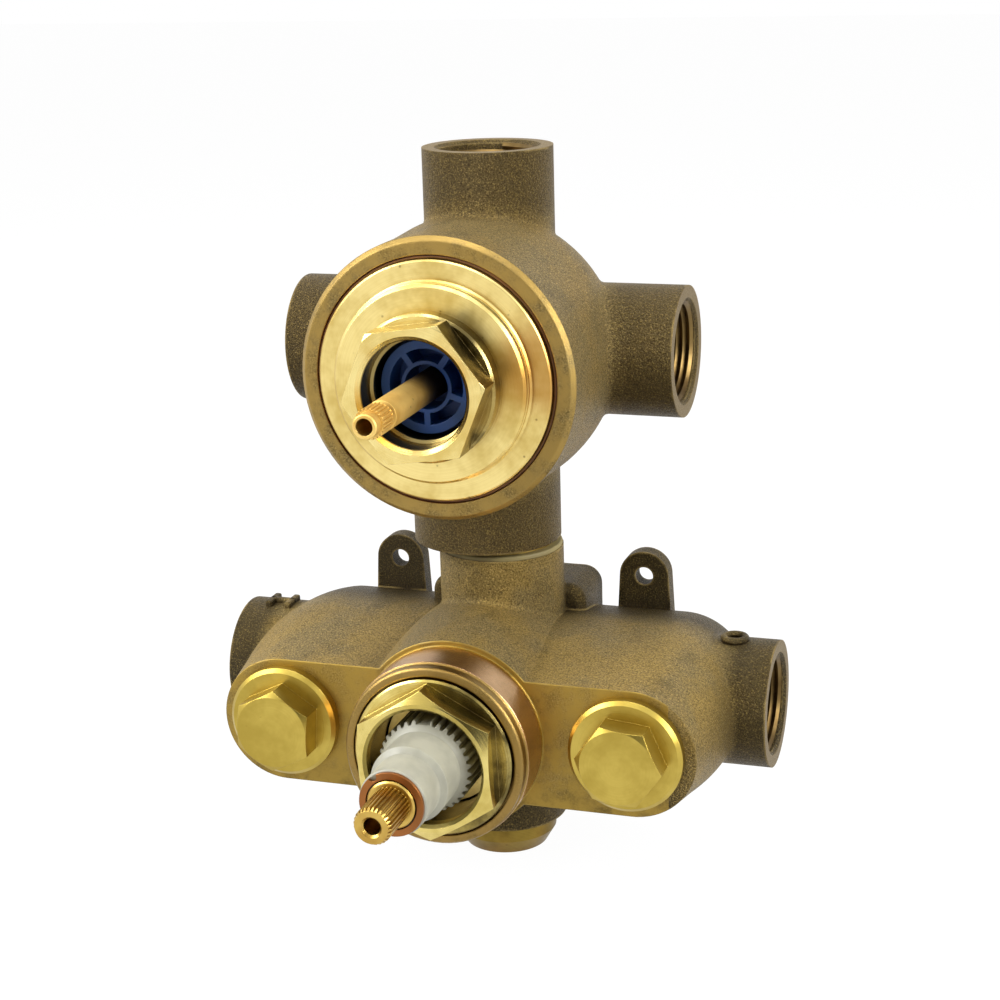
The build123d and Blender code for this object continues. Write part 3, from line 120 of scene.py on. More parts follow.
class Graph:
    """A material's node tree, with short calls for the nodes that the finishes share."""

    def __init__(self, name: str) -> None:
        """Make a material with a principled shader and an output.

        Args:
            name: The material's name.
        """
        self.material = bpy.data.materials.new(name)
        self.material.use_nodes = True
        self.tree = self.material.node_tree
        self.shader = self.tree.nodes["Principled BSDF"]
        self.coordinates = self.tree.nodes.new("ShaderNodeTexCoord").outputs["Object"]

    def put(self, socket: bpy.types.NodeSocket, value: object) -> None:
        """Link a socket into another, or set it to a constant.

        Args:
            socket: The input to fill.
            value: An output socket or a constant.
        """
        if isinstance(value, bpy.types.NodeSocket):
            self.tree.links.new(value, socket)
        else:
            socket.default_value = value

    def maths(self, operation: str, first: object, second: object = 0.0) -> bpy.types.NodeSocket:
        """Add a maths node.

        Args:
            operation: Blender's name of the operation.
            first: The first value or socket.
            second: The second value or socket.

        Returns:
            The node's output.
        """
        node = self.tree.nodes.new("ShaderNodeMath")
        node.operation = operation
        self.put(node.inputs[0], first)
        self.put(node.inputs[1], second)
        return node.outputs[0]

    def noise(
        self, scale: float, detail: float = 2.0, roughness: float = 0.5, where: object = None
    ) -> bpy.types.NodeSocket:
        """Add a noise texture in the object's own coordinates.

        Args:
            scale: Cycles per metre.
            detail: Octaves.
            roughness: Share of the finer octaves.
            where: Coordinates to use in place of the object's.

        Returns:
            The noise between 0 and 1.
        """
        node = self.tree.nodes.new("ShaderNodeTexNoise")
        self.put(node.inputs["Vector"], where if where is not None else self.coordinates)
        node.inputs["Scale"].default_value = scale
        node.inputs["Detail"].default_value = detail
        node.inputs["Roughness"].default_value = roughness
        return node.outputs["Fac"]

    def cells(self, scale: float) -> bpy.types.NodeSocket:
        """Add the distance to the nearest of scattered points.

        Args:
            scale: Points per metre.

        Returns:
            The distance, 0 at a point.
        """
        node = self.tree.nodes.new("ShaderNodeTexVoronoi")
        self.put(node.inputs["Vector"], self.coordinates)
        node.inputs["Scale"].default_value = scale
        return node.outputs["Distance"]

    def ramp(self, value: bpy.types.NodeSocket, low: float, high: float) -> bpy.types.NodeSocket:
        """Stretch a value so that low becomes 0 and high becomes 1, held between them.

        Args:
            value: The value to stretch.
            low: What becomes 0.
            high: What becomes 1.

        Returns:
            The stretched value.
        """
        node = self.tree.nodes.new("ShaderNodeMapRange")
        node.interpolation_type = "SMOOTHSTEP"
        self.put(node.inputs["Value"], value)
        node.inputs["From Min"].default_value = low
        node.inputs["From Max"].default_value = high
        return node.outputs["Result"]

    def mix(self, share: object, first: object, second: object) -> bpy.types.NodeSocket:
        """Mix two colours.

        Args:
            share: How much of the second.
            first: A colour or socket.
            second: A colour or socket.

        Returns:
            The mixed colour.
        """
        node = self.tree.nodes.new("ShaderNodeMix")
        node.data_type = "RGBA"
        self.put(node.inputs["Factor"], share)
        self.put(node.inputs[6], first)
        self.put(node.inputs[7], second)
        return node.outputs[2]

    def split(self) -> dict[str, bpy.types.NodeSocket]:
        """Split the object's coordinates.

        Returns:
            The three coordinates by name.
        """
        node = self.tree.nodes.new("ShaderNodeSeparateXYZ")
        self.put(node.inputs[0], self.coordinates)
        return {"x": node.outputs[0], "y": node.outputs[1], "z": node.outputs[2]}

    def spun(self, height: float, across: float = 0.0) -> bpy.types.NodeSocket:
        """Distance from a line square to the wall, in metres.

        Args:
            height: The line's height in millimetres.
            across: The line's place along X in millimetres.

        Returns:
            The distance from the line.
        """
        place = self.split()
        off_x = self.maths("SUBTRACT", place["x"], across * MM)
        off_z = self.maths("SUBTRACT", place["z"], height * MM)
        square_x = self.maths("MULTIPLY", off_x, off_x)
        square_z = self.maths("MULTIPLY", off_z, off_z)
        return self.maths("SQRT", self.maths("ADD", square_x, square_z))

    def depth(self) -> bpy.types.NodeSocket:
        """Distance out from the wall, in metres.

        Returns:
            The distance.
        """
        return self.maths("MULTIPLY", self.split()["y"], -1.0)

    def between(self, value: bpy.types.NodeSocket, low: float, high: float) -> bpy.types.NodeSocket:
        """Tell where a length lies between two limits.

        Args:
            value: The length in metres.
            low: The lower limit in millimetres.
            high: The upper limit in millimetres.

        Returns:
            1 between the limits, 0 elsewhere.
        """
        above = self.maths("GREATER_THAN", value, low * MM)
        return self.maths("MULTIPLY", above, self.maths("LESS_THAN", value, high * MM))

    def along(self, value: bpy.types.NodeSocket) -> bpy.types.NodeSocket:
        """Turn one value into coordinates, for textures that vary along it alone.

        Args:
            value: The value.

        Returns:
            Coordinates with that value first.
        """
        node = self.tree.nodes.new("ShaderNodeCombineXYZ")
        self.put(node.inputs[0], value)
        return node.outputs[0]

    def bump(self, height: bpy.types.NodeSocket, depth: float, below: object = None) -> bpy.types.NodeSocket:
        """Add relief.

        Args:
            height: Relief between 0 and 1.
            depth: Its depth in metres.
            below: A normal to add it to.

        Returns:
            The normal.
        """
        node = self.tree.nodes.new("ShaderNodeBump")
        node.inputs["Distance"].default_value = depth
        self.put(node.inputs["Height"], height)
        if below is not None:
            self.put(node.inputs["Normal"], below)
        return node.outputs["Normal"]

    def rounded(self, radius: float) -> bpy.types.NodeSocket:
        """Add a softened edge.

        Args:
            radius: The edge's radius in metres.

        Returns:
            The normal.
        """
        node = self.tree.nodes.new("ShaderNodeBevel")
        node.samples = 6
        node.inputs["Radius"].default_value = radius
        return node.outputs["Normal"]

    def crevice(self, reach: float) -> bpy.types.NodeSocket:
        """Add how open a place is.

        Args:
            reach: How far it looks, in metres.

        Returns:
            1 in the open, 0 deep inside.
        """
        node = self.tree.nodes.new("ShaderNodeAmbientOcclusion")
        node.samples = 8
        node.inputs["Distance"].default_value = reach
        return node.outputs["AO"]

    def arris(self, radius: float) -> bpy.types.NodeSocket:
        """Find edges and corners, which wear bright first and here carry a painted highlight.

        Args:
            radius: How far from an edge it reaches, in metres.

        Returns:
            1 on an edge, 0 away from it.
        """
        place = self.tree.nodes.new("ShaderNodeNewGeometry")
        node = self.tree.nodes.new("ShaderNodeVectorMath")
        node.operation = "DOT_PRODUCT"
        self.put(node.inputs[0], self.rounded(radius))
        self.put(node.inputs[1], place.outputs["Normal"])
        return self.ramp(node.outputs["Value"], 0.985, 0.88)

    def blend(self, share: object, first: object, second: object) -> bpy.types.NodeSocket:
        """Blend two values.

        Args:
            share: How much of the second.
            first: A value or socket.
            second: A value or socket.

        Returns:
            The blended value.
        """
        node = self.tree.nodes.new("ShaderNodeMix")
        self.put(node.inputs[0], share)
        self.put(node.inputs[2], first)
        self.put(node.inputs[3], second)
        return node.outputs[0]

    def finish(
        self, colour: object, metallic: object, roughness: object, normal: object = None
    ) -> bpy.types.Material:
        """Fill the principled shader.

        Args:
            colour: Base colour.
            metallic: Metallic share.
            roughness: Roughness.
            normal: Normal, where it has relief.

        Returns:
            The finished material.
        """
        self.put(self.shader.inputs["Base Color"], colour)
        self.put(self.shader.inputs["Metallic"], metallic)
        self.put(self.shader.inputs["Roughness"], roughness)
        if normal is not None:
            self.put(self.shader.inputs["Normal"], normal)
        return self.material


@dataclass(frozen=True)
class Zone:
    """Place on a casting with a colour of its own, machined or painted shade, bounded in millimetres from a
    line square to the wall and in depth.
    """

    height: float
    radius: tuple[float, float]
    depth: tuple[float, float]
    colour: tuple[int, int, int]
    roughness: float = 0.4
    metallic: float = 0.9
    across: tuple[float, float] = (-99.0, 99.0)
    patchy: float = 0.5


@dataclass(frozen=True)
class PaintedShade:
    """Painted shade on the cast skin, in millimetres: darker out along the ports, up the neck, down the boss
    and near the wall.
    """

    height: float
    radius: tuple[float, float]
    rise: tuple[float, float]
    fall: tuple[float, float] = (-200.0, -201.0)
    depth: tuple[float, float] = (30.0, 14.0)
    shares: tuple[float, float, float] = (0.8, 0.7, 0.85)

    def share(self, graph: Graph) -> bpy.types.NodeSocket:
        """Work out how much painted shade a place gets.

        Args:
            graph: The material's graph.

        Returns:
            The share.
        """
        out, up, back = self.shares
        ports = graph.ramp(graph.spun(self.height), *(value * MM for value in self.radius))
        neck = graph.ramp(graph.split()["z"], *(value * MM for value in self.rise))
        boss = graph.ramp(graph.split()["z"], *(value * MM for value in self.fall))
        wall = graph.ramp(graph.depth(), *(value * MM for value in self.depth))
        ends = graph.maths("MULTIPLY", graph.maths("MAXIMUM", neck, boss), up)
        found = graph.maths("MAXIMUM", graph.maths("MULTIPLY", ports, out), ends)
        return graph.maths("MAXIMUM", found, graph.maths("MULTIPLY", wall, back))


@dataclass(frozen=True)
class CastBrass:
    """Sand-cast brass skin: dull olive brown with gold specks, and brighter where it has been machined.
    Painted shade darkens it in places and in its hollows, and its worn edges also carry a painted highlight.

    Scales are cycles per metre, depths and reaches metres, shares 0 to 1 and colours 0-255 on the screen.
    """

    name: str
    port_ends: tuple[float, float, float]
    painted_shade: PaintedShade
    zones: tuple[Zone, ...]
    deep: tuple[int, int, int] = (50, 39, 20)
    skin: tuple[int, int, int] = (126, 109, 68)
    warm: tuple[int, int, int] = (140, 116, 62)
    speck: tuple[int, int, int] = (222, 190, 112)
    # colour of the painted shade
    shade_colour: tuple[int, int, int] = (56, 45, 23)
    # colour of the worn edges, partly a painted highlight
    worn: tuple[int, int, int] = (206, 178, 112)
    end_colour: tuple[int, int, int] = (120, 100, 58)
    edge: float = 0.0007
    reflectance: float = 0.2
    grain_scale: float = 2300.0
    grain_depth: float = 0.00060
    wave_scale: float = 260.0
    wave_depth: float = 0.00045
    turning_scale: float = 1500.0
    turning_depth: float = 0.0001
    blotch_scale: float = 48.0
    stain_scale: float = 85.0
    stain_share: float = 0.4
    pit_share: float = 0.75
    hollow_reach: float = 0.008
    hollow_shade_share: float = 0.75
    arris_reach: float = 0.0011
    edge_wear_and_highlight_scale: float = 90.0
    edge_wear_and_highlight_share: float = 0.55
    worn_scale: float = 160.0

    def skin_colour(self, graph: Graph, grain: bpy.types.NodeSocket) -> bpy.types.NodeSocket:
        """Colour the cast skin, with its painted shade and the painted highlight on its worn edges.

        Args:
            graph: The material's graph.
            grain: The fine grain.

        Returns:
            The colour.
        """
        blotch = graph.noise(self.blotch_scale, 3.0, 0.6)
        stain = graph.noise(self.stain_scale, 3.0, 0.55)
        colour = graph.mix(
            graph.ramp(blotch, 0.40, 0.60), Colour.linear(*self.skin), Colour.linear(*self.warm)
        )
        stained = graph.maths("MULTIPLY", graph.ramp(stain, 0.52, 0.75), self.stain_share)
        colour = graph.mix(stained, colour, Colour.linear(*self.deep))
        # painted shade: darker out along the ports, up the neck, under the boss and near the wall, with
        # fewer gold specks there
        shade_share = self.painted_shade.share(graph)
        colour = graph.mix(shade_share, colour, Colour.linear(*self.shade_colour))
        gold = graph.maths("MULTIPLY", graph.ramp(grain, 0.50, 0.72), graph.blend(shade_share, 0.55, 0.22))
        colour = graph.mix(gold, colour, Colour.linear(*self.speck))
        pitted = graph.maths("MULTIPLY", graph.ramp(grain, 0.49, 0.35), self.pit_share)
        colour = graph.mix(pitted, colour, Colour.linear(*self.deep))
        # painted shade: the skin darkens towards the deep colour in hollows
        hollow = graph.ramp(graph.crevice(self.hollow_reach), 0.8, 0.2)
        share = graph.maths("MULTIPLY", hollow, self.hollow_shade_share)
        colour = graph.mix(share, colour, Colour.linear(*self.deep))
        # edges rubbed bright in patches: partly wear, partly a painted highlight
        rubbed_and_highlit = graph.ramp(graph.noise(self.edge_wear_and_highlight_scale, 3.0, 0.6), 0.42, 0.60)
        share = graph.maths("MULTIPLY", rubbed_and_highlit, self.edge_wear_and_highlight_share)
        edges = graph.maths("MULTIPLY", graph.arris(self.arris_reach), share)
        return graph.mix(edges, colour, Colour.linear(*self.worn))

    def build(self) -> bpy.types.Material:
        """Make the material.

        Returns:
            The material.
        """
        graph = Graph(self.name)
        grain = graph.noise(self.grain_scale, 3.0, 0.75)
        colour = self.skin_colour(graph, grain)
        roughness = graph.maths("ADD", graph.maths("MULTIPLY", grain, -0.4), 0.66)
        metallic = graph.maths("ADD", graph.maths("MULTIPLY", graph.ramp(grain, 0.50, 0.70), 0.4), 0.45)
        worn = graph.ramp(graph.noise(self.worn_scale, 4.0, 0.65), 0.30, 0.62)
        place = graph.split()
        depth = graph.depth()
        turning = graph.noise(self.turning_scale, 2.0, 0.6, graph.along(depth))
        cast = 1.0
        for zone in self.zones:
            spun = graph.between(graph.spun(zone.height), *zone.radius)
            inside = graph.maths("MULTIPLY", spun, graph.between(depth, *zone.depth))
            inside = graph.maths("MULTIPLY", inside, graph.between(place["x"], *zone.across))
            share = graph.maths("MULTIPLY", inside, graph.blend(worn, zone.patchy, 1.0))
            colour = graph.mix(share, colour, Colour.linear(*zone.colour))
            roughness = graph.blend(inside, roughness, zone.roughness)
            metallic = graph.blend(inside, metallic, zone.metallic)
            cast = graph.blend(inside, cast, 0.12)
        low, high, top = self.port_ends
        left = graph.maths("LESS_THAN", place["x"], low * MM)
        right = graph.maths("GREATER_THAN", place["x"], high * MM)
        above = graph.maths("GREATER_THAN", place["z"], top * MM)
        ends = graph.maths("MAXIMUM", graph.maths("MAXIMUM", left, right), above)
        colour = graph.mix(graph.maths("MULTIPLY", ends, 0.7), colour, Colour.linear(*self.end_colour))
        cast = graph.blend(ends, cast, 0.2)
        lines = graph.maths("MULTIPLY", turning, 0.1)
        waves = graph.maths("MULTIPLY", graph.noise(self.wave_scale, 3.0, 0.6), cast)
        normal = graph.bump(lines, self.turning_depth, graph.rounded(self.edge))
        normal = graph.bump(waves, self.wave_depth, normal)
        normal = graph.bump(graph.maths("MULTIPLY", grain, cast), self.grain_depth, normal)
        material = graph.finish(colour, metallic, roughness, normal)
        graph.shader.inputs["Specular IOR Level"].default_value = self.reflectance
        return material


@dataclass(frozen=True)
class TurnedBrass:
    """Machined brass with fine turning lines round a line square to the wall.

    The line's height and place across, and the limits of the darker flats and of the painted shade in the
    bore, at the base and on the flange, are millimetres.
    Scales are cycles per metre, depths and reaches metres, shares 0 to 1 and colours 0-255 on the screen.
    """

    name: str
    bright: tuple[int, int, int] = (244, 222, 146)
    dull: tuple[int, int, int] = (214, 184, 100)
    height: float = DIVERTER_HEIGHT
    across: float = 0.0
    roughness: float = 0.26
    lines: float = 0.00004
    line_scale: float = 2400.0
    cloud_scale: float = 60.0
    tarnish_scale: float = 24.0
    pit_scale: float = 330.0
    crust_scale: float = 110.0
    hollow_reach: float = 0.004
    edge: float = 0.00018
    stains: float = 0.6
    # bore radius, flats radius and front depth for the painted shade in the bore and the darker flats
    bore_and_flats: tuple[float, float, float] = (0.0, 0.0, 0.0)
    # depths between which the painted shade at the base fades out
    base_shade: tuple[float, float] = (0.0, 0.0)
    # place across, height and size of the painted shade patch
    shade_at: tuple[float, float, float] = (0.0, 0.0, 0.0)

    def metal(
        self, graph: Graph, turning: bpy.types.NodeSocket, cloud: bpy.types.NodeSocket
    ) -> bpy.types.NodeSocket:
        """Colour the clean metal, streaked along its turning lines.

        Args:
            graph: The material's graph.
            turning: The turning lines.
            cloud: Where it is duller.

        Returns:
            The colour.
        """
        streak = graph.maths("MULTIPLY", graph.ramp(turning, 0.3, 0.7), 0.25)
        bright, dull = Colour.linear(*self.bright), Colour.linear(*self.dull)
        return graph.mix(streak, graph.mix(graph.ramp(cloud, 0.36, 0.68), bright, dull), dull)

    def darken_bore_and_flats(
        self, graph: Graph, colour: bpy.types.NodeSocket, radius: bpy.types.NodeSocket
    ) -> bpy.types.NodeSocket:
        """Darken the right flats in patches and paint shade into the bore, up to a depth: the bore, flats
        and front numbers that this brass holds.

        Args:
            graph: The material's graph.
            colour: The colour so far.
            radius: Distance from the brass's own line.

        Returns:
            The colour.
        """
        bore, flats, front = self.bore_and_flats
        if not front:
            return colour
        behind = graph.between(graph.depth(), 0, front)
        side = graph.maths("MULTIPLY", graph.between(radius, flats, 40), behind)
        right = graph.ramp(graph.split()["x"], (self.across + 1) * MM, (self.across + 6) * MM)
        # darker patches on the right flats
        patches = graph.blend(graph.ramp(graph.noise(self.crust_scale, 4.0, 0.6), 0.40, 0.62), 0.5, 0.9)
        share = graph.maths("MULTIPLY", graph.maths("MULTIPLY", side, right), patches)
        colour = graph.mix(share, colour, Colour.linear(*DirtAndShade.FLATS_DARK.value))
        # painted shade: the bore is darkened to dark brown where its shadow falls
        inner = graph.maths("MULTIPLY", graph.between(radius, 0, bore), behind)
        return graph.mix(graph.maths("MULTIPLY", inner, 0.7), colour, Colour.linear(*DirtAndShade.BORE_SHADE.value))

    def soiled_and_shaded(
        self, graph: Graph, colour: bpy.types.NodeSocket, radius: bpy.types.NodeSocket
    ) -> bpy.types.NodeSocket:
        """Add tarnish, pits, darker patches on the right flats, and painted shade in the bore, on the
        flange, at the base and in hollows, each where this brass has it.

        Args:
            graph: The material's graph.
            colour: The clean metal's colour.
            radius: Distance from the brass's own line.

        Returns:
            The colour.
        """
        tarnish = graph.noise(self.tarnish_scale, 3.0, 0.6)
        patch = graph.maths("MULTIPLY", graph.ramp(tarnish, 0.54, 0.70), 0.5 * self.stains)
        colour = graph.mix(patch, colour, Colour.linear(*DirtAndShade.TARNISH.value))
        pits = graph.ramp(graph.cells(self.pit_scale), 0.15, 0.04)
        spots = graph.maths("MULTIPLY", pits, graph.ramp(graph.noise(70, 1.0), 0.50, 0.60))
        share = graph.maths("MULTIPLY", spots, self.stains)
        colour = graph.mix(share, colour, Colour.linear(*DirtAndShade.PIT.value))
        colour = self.darken_bore_and_flats(graph, colour, radius)
        # painted shade: an orange-brown patch round a point, darkening the right of the flange
        shade_x, shade_z, shade_size = self.shade_at
        if shade_size:
            away = graph.maths("ADD", graph.spun(shade_z, shade_x), graph.maths("MULTIPLY", tarnish, 0.012))
            near = graph.ramp(away, (shade_size + 8) * MM, (shade_size - 2) * MM)
            share = graph.maths("MULTIPLY", near, 0.65)
            colour = graph.mix(share, colour, Colour.linear(*DirtAndShade.FLANGE_SHADE.value))
        # painted shade: darker brown towards the wall, where the spindle's base lies in shadow
        low, high = self.base_shade
        if high:
            share = graph.ramp(graph.depth(), high * MM, low * MM)
            colour = graph.mix(share, colour, Colour.linear(*DirtAndShade.BASE_SHADE.value))
        # painted shade in hollows
        hollow = graph.maths("MULTIPLY", graph.ramp(graph.crevice(self.hollow_reach), 0.7, 0.15), 0.5)
        return graph.mix(hollow, colour, Colour.linear(*DirtAndShade.HOLLOW_SHADE.value))

    def build(self) -> bpy.types.Material:
        """Make the material.

        Returns:
            The material.
        """
        graph = Graph(self.name)
        radius = graph.spun(self.height, self.across)
        lathe = graph.along(graph.maths("ADD", radius, graph.depth()))
        turning = graph.noise(self.line_scale, 2.0, 0.6, lathe)
        cloud = graph.noise(self.cloud_scale, 4.0, 0.65)
        colour = self.soiled_and_shaded(graph, self.metal(graph, turning, cloud), radius)
        normal = graph.bump(turning, self.lines, graph.rounded(self.edge))
        roughness = graph.maths("ADD", graph.maths("MULTIPLY", cloud, 0.16), self.roughness - 0.08)
        return graph.finish(colour, 1.0, roughness, normal)


@dataclass(frozen=True)
class Moulded:
    """Moulded plastic, rubber or paste: one colour with a faint grain, and where set, dust and painted shade
    in its hollows.
    """

    name: str
    colour: tuple[int, int, int]
    roughness: float = 0.45
    shine_through: float = 0.0
    metallic: float = 0.0
    hollow_dust_and_shade: float = 0.0
    edge: float = 0.0003
    hollow_reach: float = 0.0026

    def build(self) -> bpy.types.Material:
        """Make the material.

        Returns:
            The material.
        """
        graph = Graph(self.name)
        cloud = graph.ramp(graph.noise(120, 3.0), 0.35, 0.65)
        pale = Colour.linear(*self.colour)
        dark = Colour.linear(*(int(value * 0.9) for value in self.colour))
        colour = graph.mix(cloud, pale, dark)
        # dust and painted shade in hollows
        if self.hollow_dust_and_shade:
            hollow = graph.ramp(graph.crevice(self.hollow_reach), 0.85, 0.3)
            share = graph.maths("MULTIPLY", hollow, self.hollow_dust_and_shade)
            colour = graph.mix(share, colour, Colour.linear(*DirtAndShade.DUST_AND_SHADE.value))
        material = graph.finish(colour, self.metallic, self.roughness, graph.rounded(self.edge))
        if self.shine_through:
            graph.shader.inputs["Subsurface Weight"].default_value = self.shine_through
            graph.shader.inputs["Subsurface Radius"].default_value = (0.003, 0.003, 0.0025)
            graph.shader.inputs["Subsurface Scale"].default_value = 0.6
        return material


def select_only(piece: bpy.types.Object) -> None:
    """Select one object and make it active.

    Args:
        piece: The object.
    """
    bpy.ops.object.select_all(action="DESELECT")
    piece.select_set(True)
    bpy.context.view_layer.objects.active = piece


def settle(piece: bpy.types.Object, name: str) -> bpy.types.Object:
    """Name an object, apply its modifiers and bring its place into its vertices.

    Args:
        piece: The object.
        name: Its name.

    Returns:
        The same object.
    """
    select_only(piece)
    piece.name = name
    piece.data.name = name
    for modifier in list(piece.modifiers):
        bpy.ops.object.modifier_apply(modifier=modifier.name)
    bpy.ops.object.transform_apply(location=True, rotation=True, scale=True)
    return piece


def wind(
    corners: int, wire: float, middle: float, pitch: float, turns: int, steps: int
) -> bpy.types.Object:
    """Wind a wire about Z, from the origin's height upwards.

    Args:
        corners: Corners of the wire's section.
        wire: Radius of the section in millimetres.
        middle: Radius of the winding in millimetres.
        pitch: Rise of each turn in millimetres.
        turns: Number of turns.
        steps: Points on each turn.

    Returns:
        The wire, with its winding still a modifier.
    """
    bpy.ops.object.select_all(action="DESELECT")
    bpy.ops.mesh.primitive_circle_add(vertices=corners, radius=wire * MM, rotation=(math.pi / 2, 0, 0))
    piece = bpy.context.object
    bpy.ops.object.mode_set(mode="EDIT")
    bpy.ops.mesh.select_all(action="SELECT")
    bpy.ops.transform.translate(value=(middle * MM, 0, 0))
    bpy.ops.object.mode_set(mode="OBJECT")
    select_only(piece)
    bpy.ops.object.transform_apply(location=True, rotation=True, scale=True)
    screw = piece.modifiers.new("wind", "SCREW")
    screw.axis = "Z"
    screw.screw_offset = pitch * MM
    screw.iterations = turns
    screw.steps = steps
    screw.render_steps = steps
    screw.use_normal_calculate = True
    return piece


@dataclass(frozen=True)
class PipeThread:
    """Female pipe thread: a helical ridge inside a port, its sizes in millimetres."""

    name: str
    mouth: tuple[float, float, float]
    inward: tuple[float, float, float]
    wall: float = 12.9
    ridge: float = 0.85
    pitch: float = 1.814
    turns: int = 8
    set_in: float = 1.6

    def build(self, finish: bpy.types.Material) -> None:
        """Wind the ridge and set it in its port.

        Args:
            finish: Its material.
        """
        ridge = wind(4, self.ridge, self.wall, self.pitch, self.turns, 64)
        ridge.rotation_mode = "QUATERNION"
        ridge.rotation_quaternion = Vector((0, 0, 1)).rotation_difference(Vector(self.inward))
        ridge.location = Vector(self.mouth) * MM + Vector(self.inward) * self.set_in * MM
        settle(ridge, self.name)
        bpy.ops.object.shade_smooth_by_angle(angle=math.radians(20))
        ridge.data.materials.append(finish)
        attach(ridge, "body")
        log.info("thread %s, %d turns", self.name, self.turns)


@dataclass(frozen=True)
class PortMark:
    """Raised mark on top of an inlet, in millimetres: two legs and a bar for hot, a ring for cold."""

    side: Side
    reach: float = 65.0
    size: float = 7.6
    stroke: float = 1.9
    rise: float = 1.3
    edge: float = 0.5
    sunk: float = 0.75
    top: float = MIXER_HEIGHT + PORT_RADIUS

    def bar(self, centre: tuple[float, float], length: float, turn: float) -> bpy.types.Object:
        """Make one rounded stroke.

        Args:
            centre: Its middle along X and Y, in millimetres from the mark's middle.
            length: Its length in millimetres.
            turn: Its turn about Z in degrees.

        Returns:
            The stroke.
        """
        place = Vector((self.side.value * self.reach + centre[0], -PORTS_DEPTH + centre[1], self.top))
        bpy.ops.mesh.primitive_cube_add(size=1, location=place * MM, rotation=(0, 0, math.radians(turn)))
        stroke = bpy.context.object
        stroke.scale = (length * MM, self.stroke * MM, 2 * self.rise * MM)
        select_only(stroke)
        bpy.ops.object.transform_apply(location=False, rotation=False, scale=True)
        edge = stroke.modifiers.new("edge", "BEVEL")
        edge.width = self.edge * MM
        edge.segments = 3
        return settle(stroke, "stroke")

    def strokes(self) -> list[bpy.types.Object]:
        """Make all strokes.

        Returns:
            The strokes.
        """
        if self.side is Side.HOT:
            leg = self.size / 2 - self.stroke / 2
            legs = [self.bar((way * leg, 0), self.size, 90) for way in (-1, 1)]
            return [*legs, self.bar((0, 0), self.size, 0)]
        height = self.top + self.rise - self.sunk
        place = Vector((self.side.value * self.reach, -PORTS_DEPTH, height)) * MM
        bpy.ops.mesh.primitive_torus_add(
            location=place,
            major_segments=48,
            minor_segments=12,
            major_radius=(self.size - self.stroke) / 2 * MM,
            minor_radius=self.stroke / 2 * MM,
        )
        return [settle(bpy.context.object, "ring")]

    def build(self, finish: bpy.types.Material) -> None:
        """Join the strokes into one mark.

        Args:
            finish: Its material.
        """
        strokes = self.strokes()
        bpy.ops.object.select_all(action="DESELECT")
        for stroke in strokes:
            stroke.select_set(True)
        bpy.context.view_layer.objects.active = strokes[0]
        if len(strokes) > 1:
            bpy.ops.object.join()
        mark = settle(strokes[0], "mark_" + self.side.name.lower())
        bpy.ops.object.shade_smooth_by_angle(angle=math.radians(40))
        mark.data.materials.append(finish)
        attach(mark, "body")
        log.info("mark on the %s inlet", self.side.name.lower())


@dataclass(frozen=True)
class Spring:
    """Coil spring wound in place of a CAD node, in millimetres."""

    node: str
    joint: str
    seat: float
    travel: float
    middle: float
    wire: float
    turns: int
    across: float = 0.0

    def build(self, finish: bpy.types.Material) -> None:
        """Wind the spring over the node's length.

        Args:
            finish: Its material.
        """
        low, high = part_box(self.node)
        start, length = -high[1], high[1] - low[1]
        rise = length / MM - 2 * self.wire
        piece = wind(12, self.wire, self.middle, rise / self.turns, self.turns, 40)
        piece.rotation_euler = (math.pi / 2, 0, 0)
        piece.location = (self.across * MM, -start - self.wire * MM, MIXER_HEIGHT * MM)
        settle(piece, self.node + "_coil")
        bpy.ops.object.mode_set(mode="EDIT")
        bpy.ops.mesh.select_all(action="SELECT")
        bpy.ops.mesh.fill_holes(sides=0)
        bpy.ops.mesh.normals_make_consistent(inside=False)
        bpy.ops.object.mode_set(mode="OBJECT")
        bpy.ops.object.shade_smooth_by_angle(angle=math.radians(40))
        piece.data.materials.append(finish)
        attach(piece, "body")
        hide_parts(self.node)
        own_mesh(piece)


SPRINGS = (
    Spring("return_spring", "thermostat_slide", seat=29.5, travel=0.777, middle=11.4, wire=0.7, turns=3),
    *(
        Spring(node, joint, seat=46.0, travel=2.5, middle=2.6, wire=0.4, turns=4, across=across)
        for node, joint, across in (
            ("hot_check_spring", "hot_check_slide", -CAP_SPAN),
            ("cold_check_spring", "cold_check_slide", CAP_SPAN),
        )
    ),
)


@dataclass(frozen=True)
class GrooveShadeBead:
    """Brown bead set in the groove between the rim and the bonnet as painted shade there, in millimetres."""

    name: str = "groove_shade_bead"
    radius: float = 30.5
    half_width: float = 0.48
    depth: float = 66.9
    unevenness: float = 0.12

    def build(self, finish: bpy.types.Material) -> None:
        """Make the bead.

        Args:
            finish: Its material.
        """
        bpy.ops.object.select_all(action="DESELECT")
        bpy.ops.mesh.primitive_torus_add(
            major_segments=160,
            minor_segments=10,
            major_radius=self.radius * MM,
            minor_radius=self.half_width * MM,
            location=Vector((0, -self.depth, DIVERTER_HEIGHT)) * MM,
            rotation=(math.radians(90), 0, 0),
        )
        bpy.ops.object.mode_set(mode="EDIT")
        bpy.ops.mesh.select_all(action="SELECT")
        bpy.ops.transform.vertex_random(offset=self.unevenness * MM, seed=4)
        bpy.ops.object.mode_set(mode="OBJECT")
        bead = settle(bpy.context.object, self.name)
        bpy.ops.object.shade_smooth()
        bead.data.materials.append(finish)
        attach(bead, "body")
        log.info("made %s", self.name)


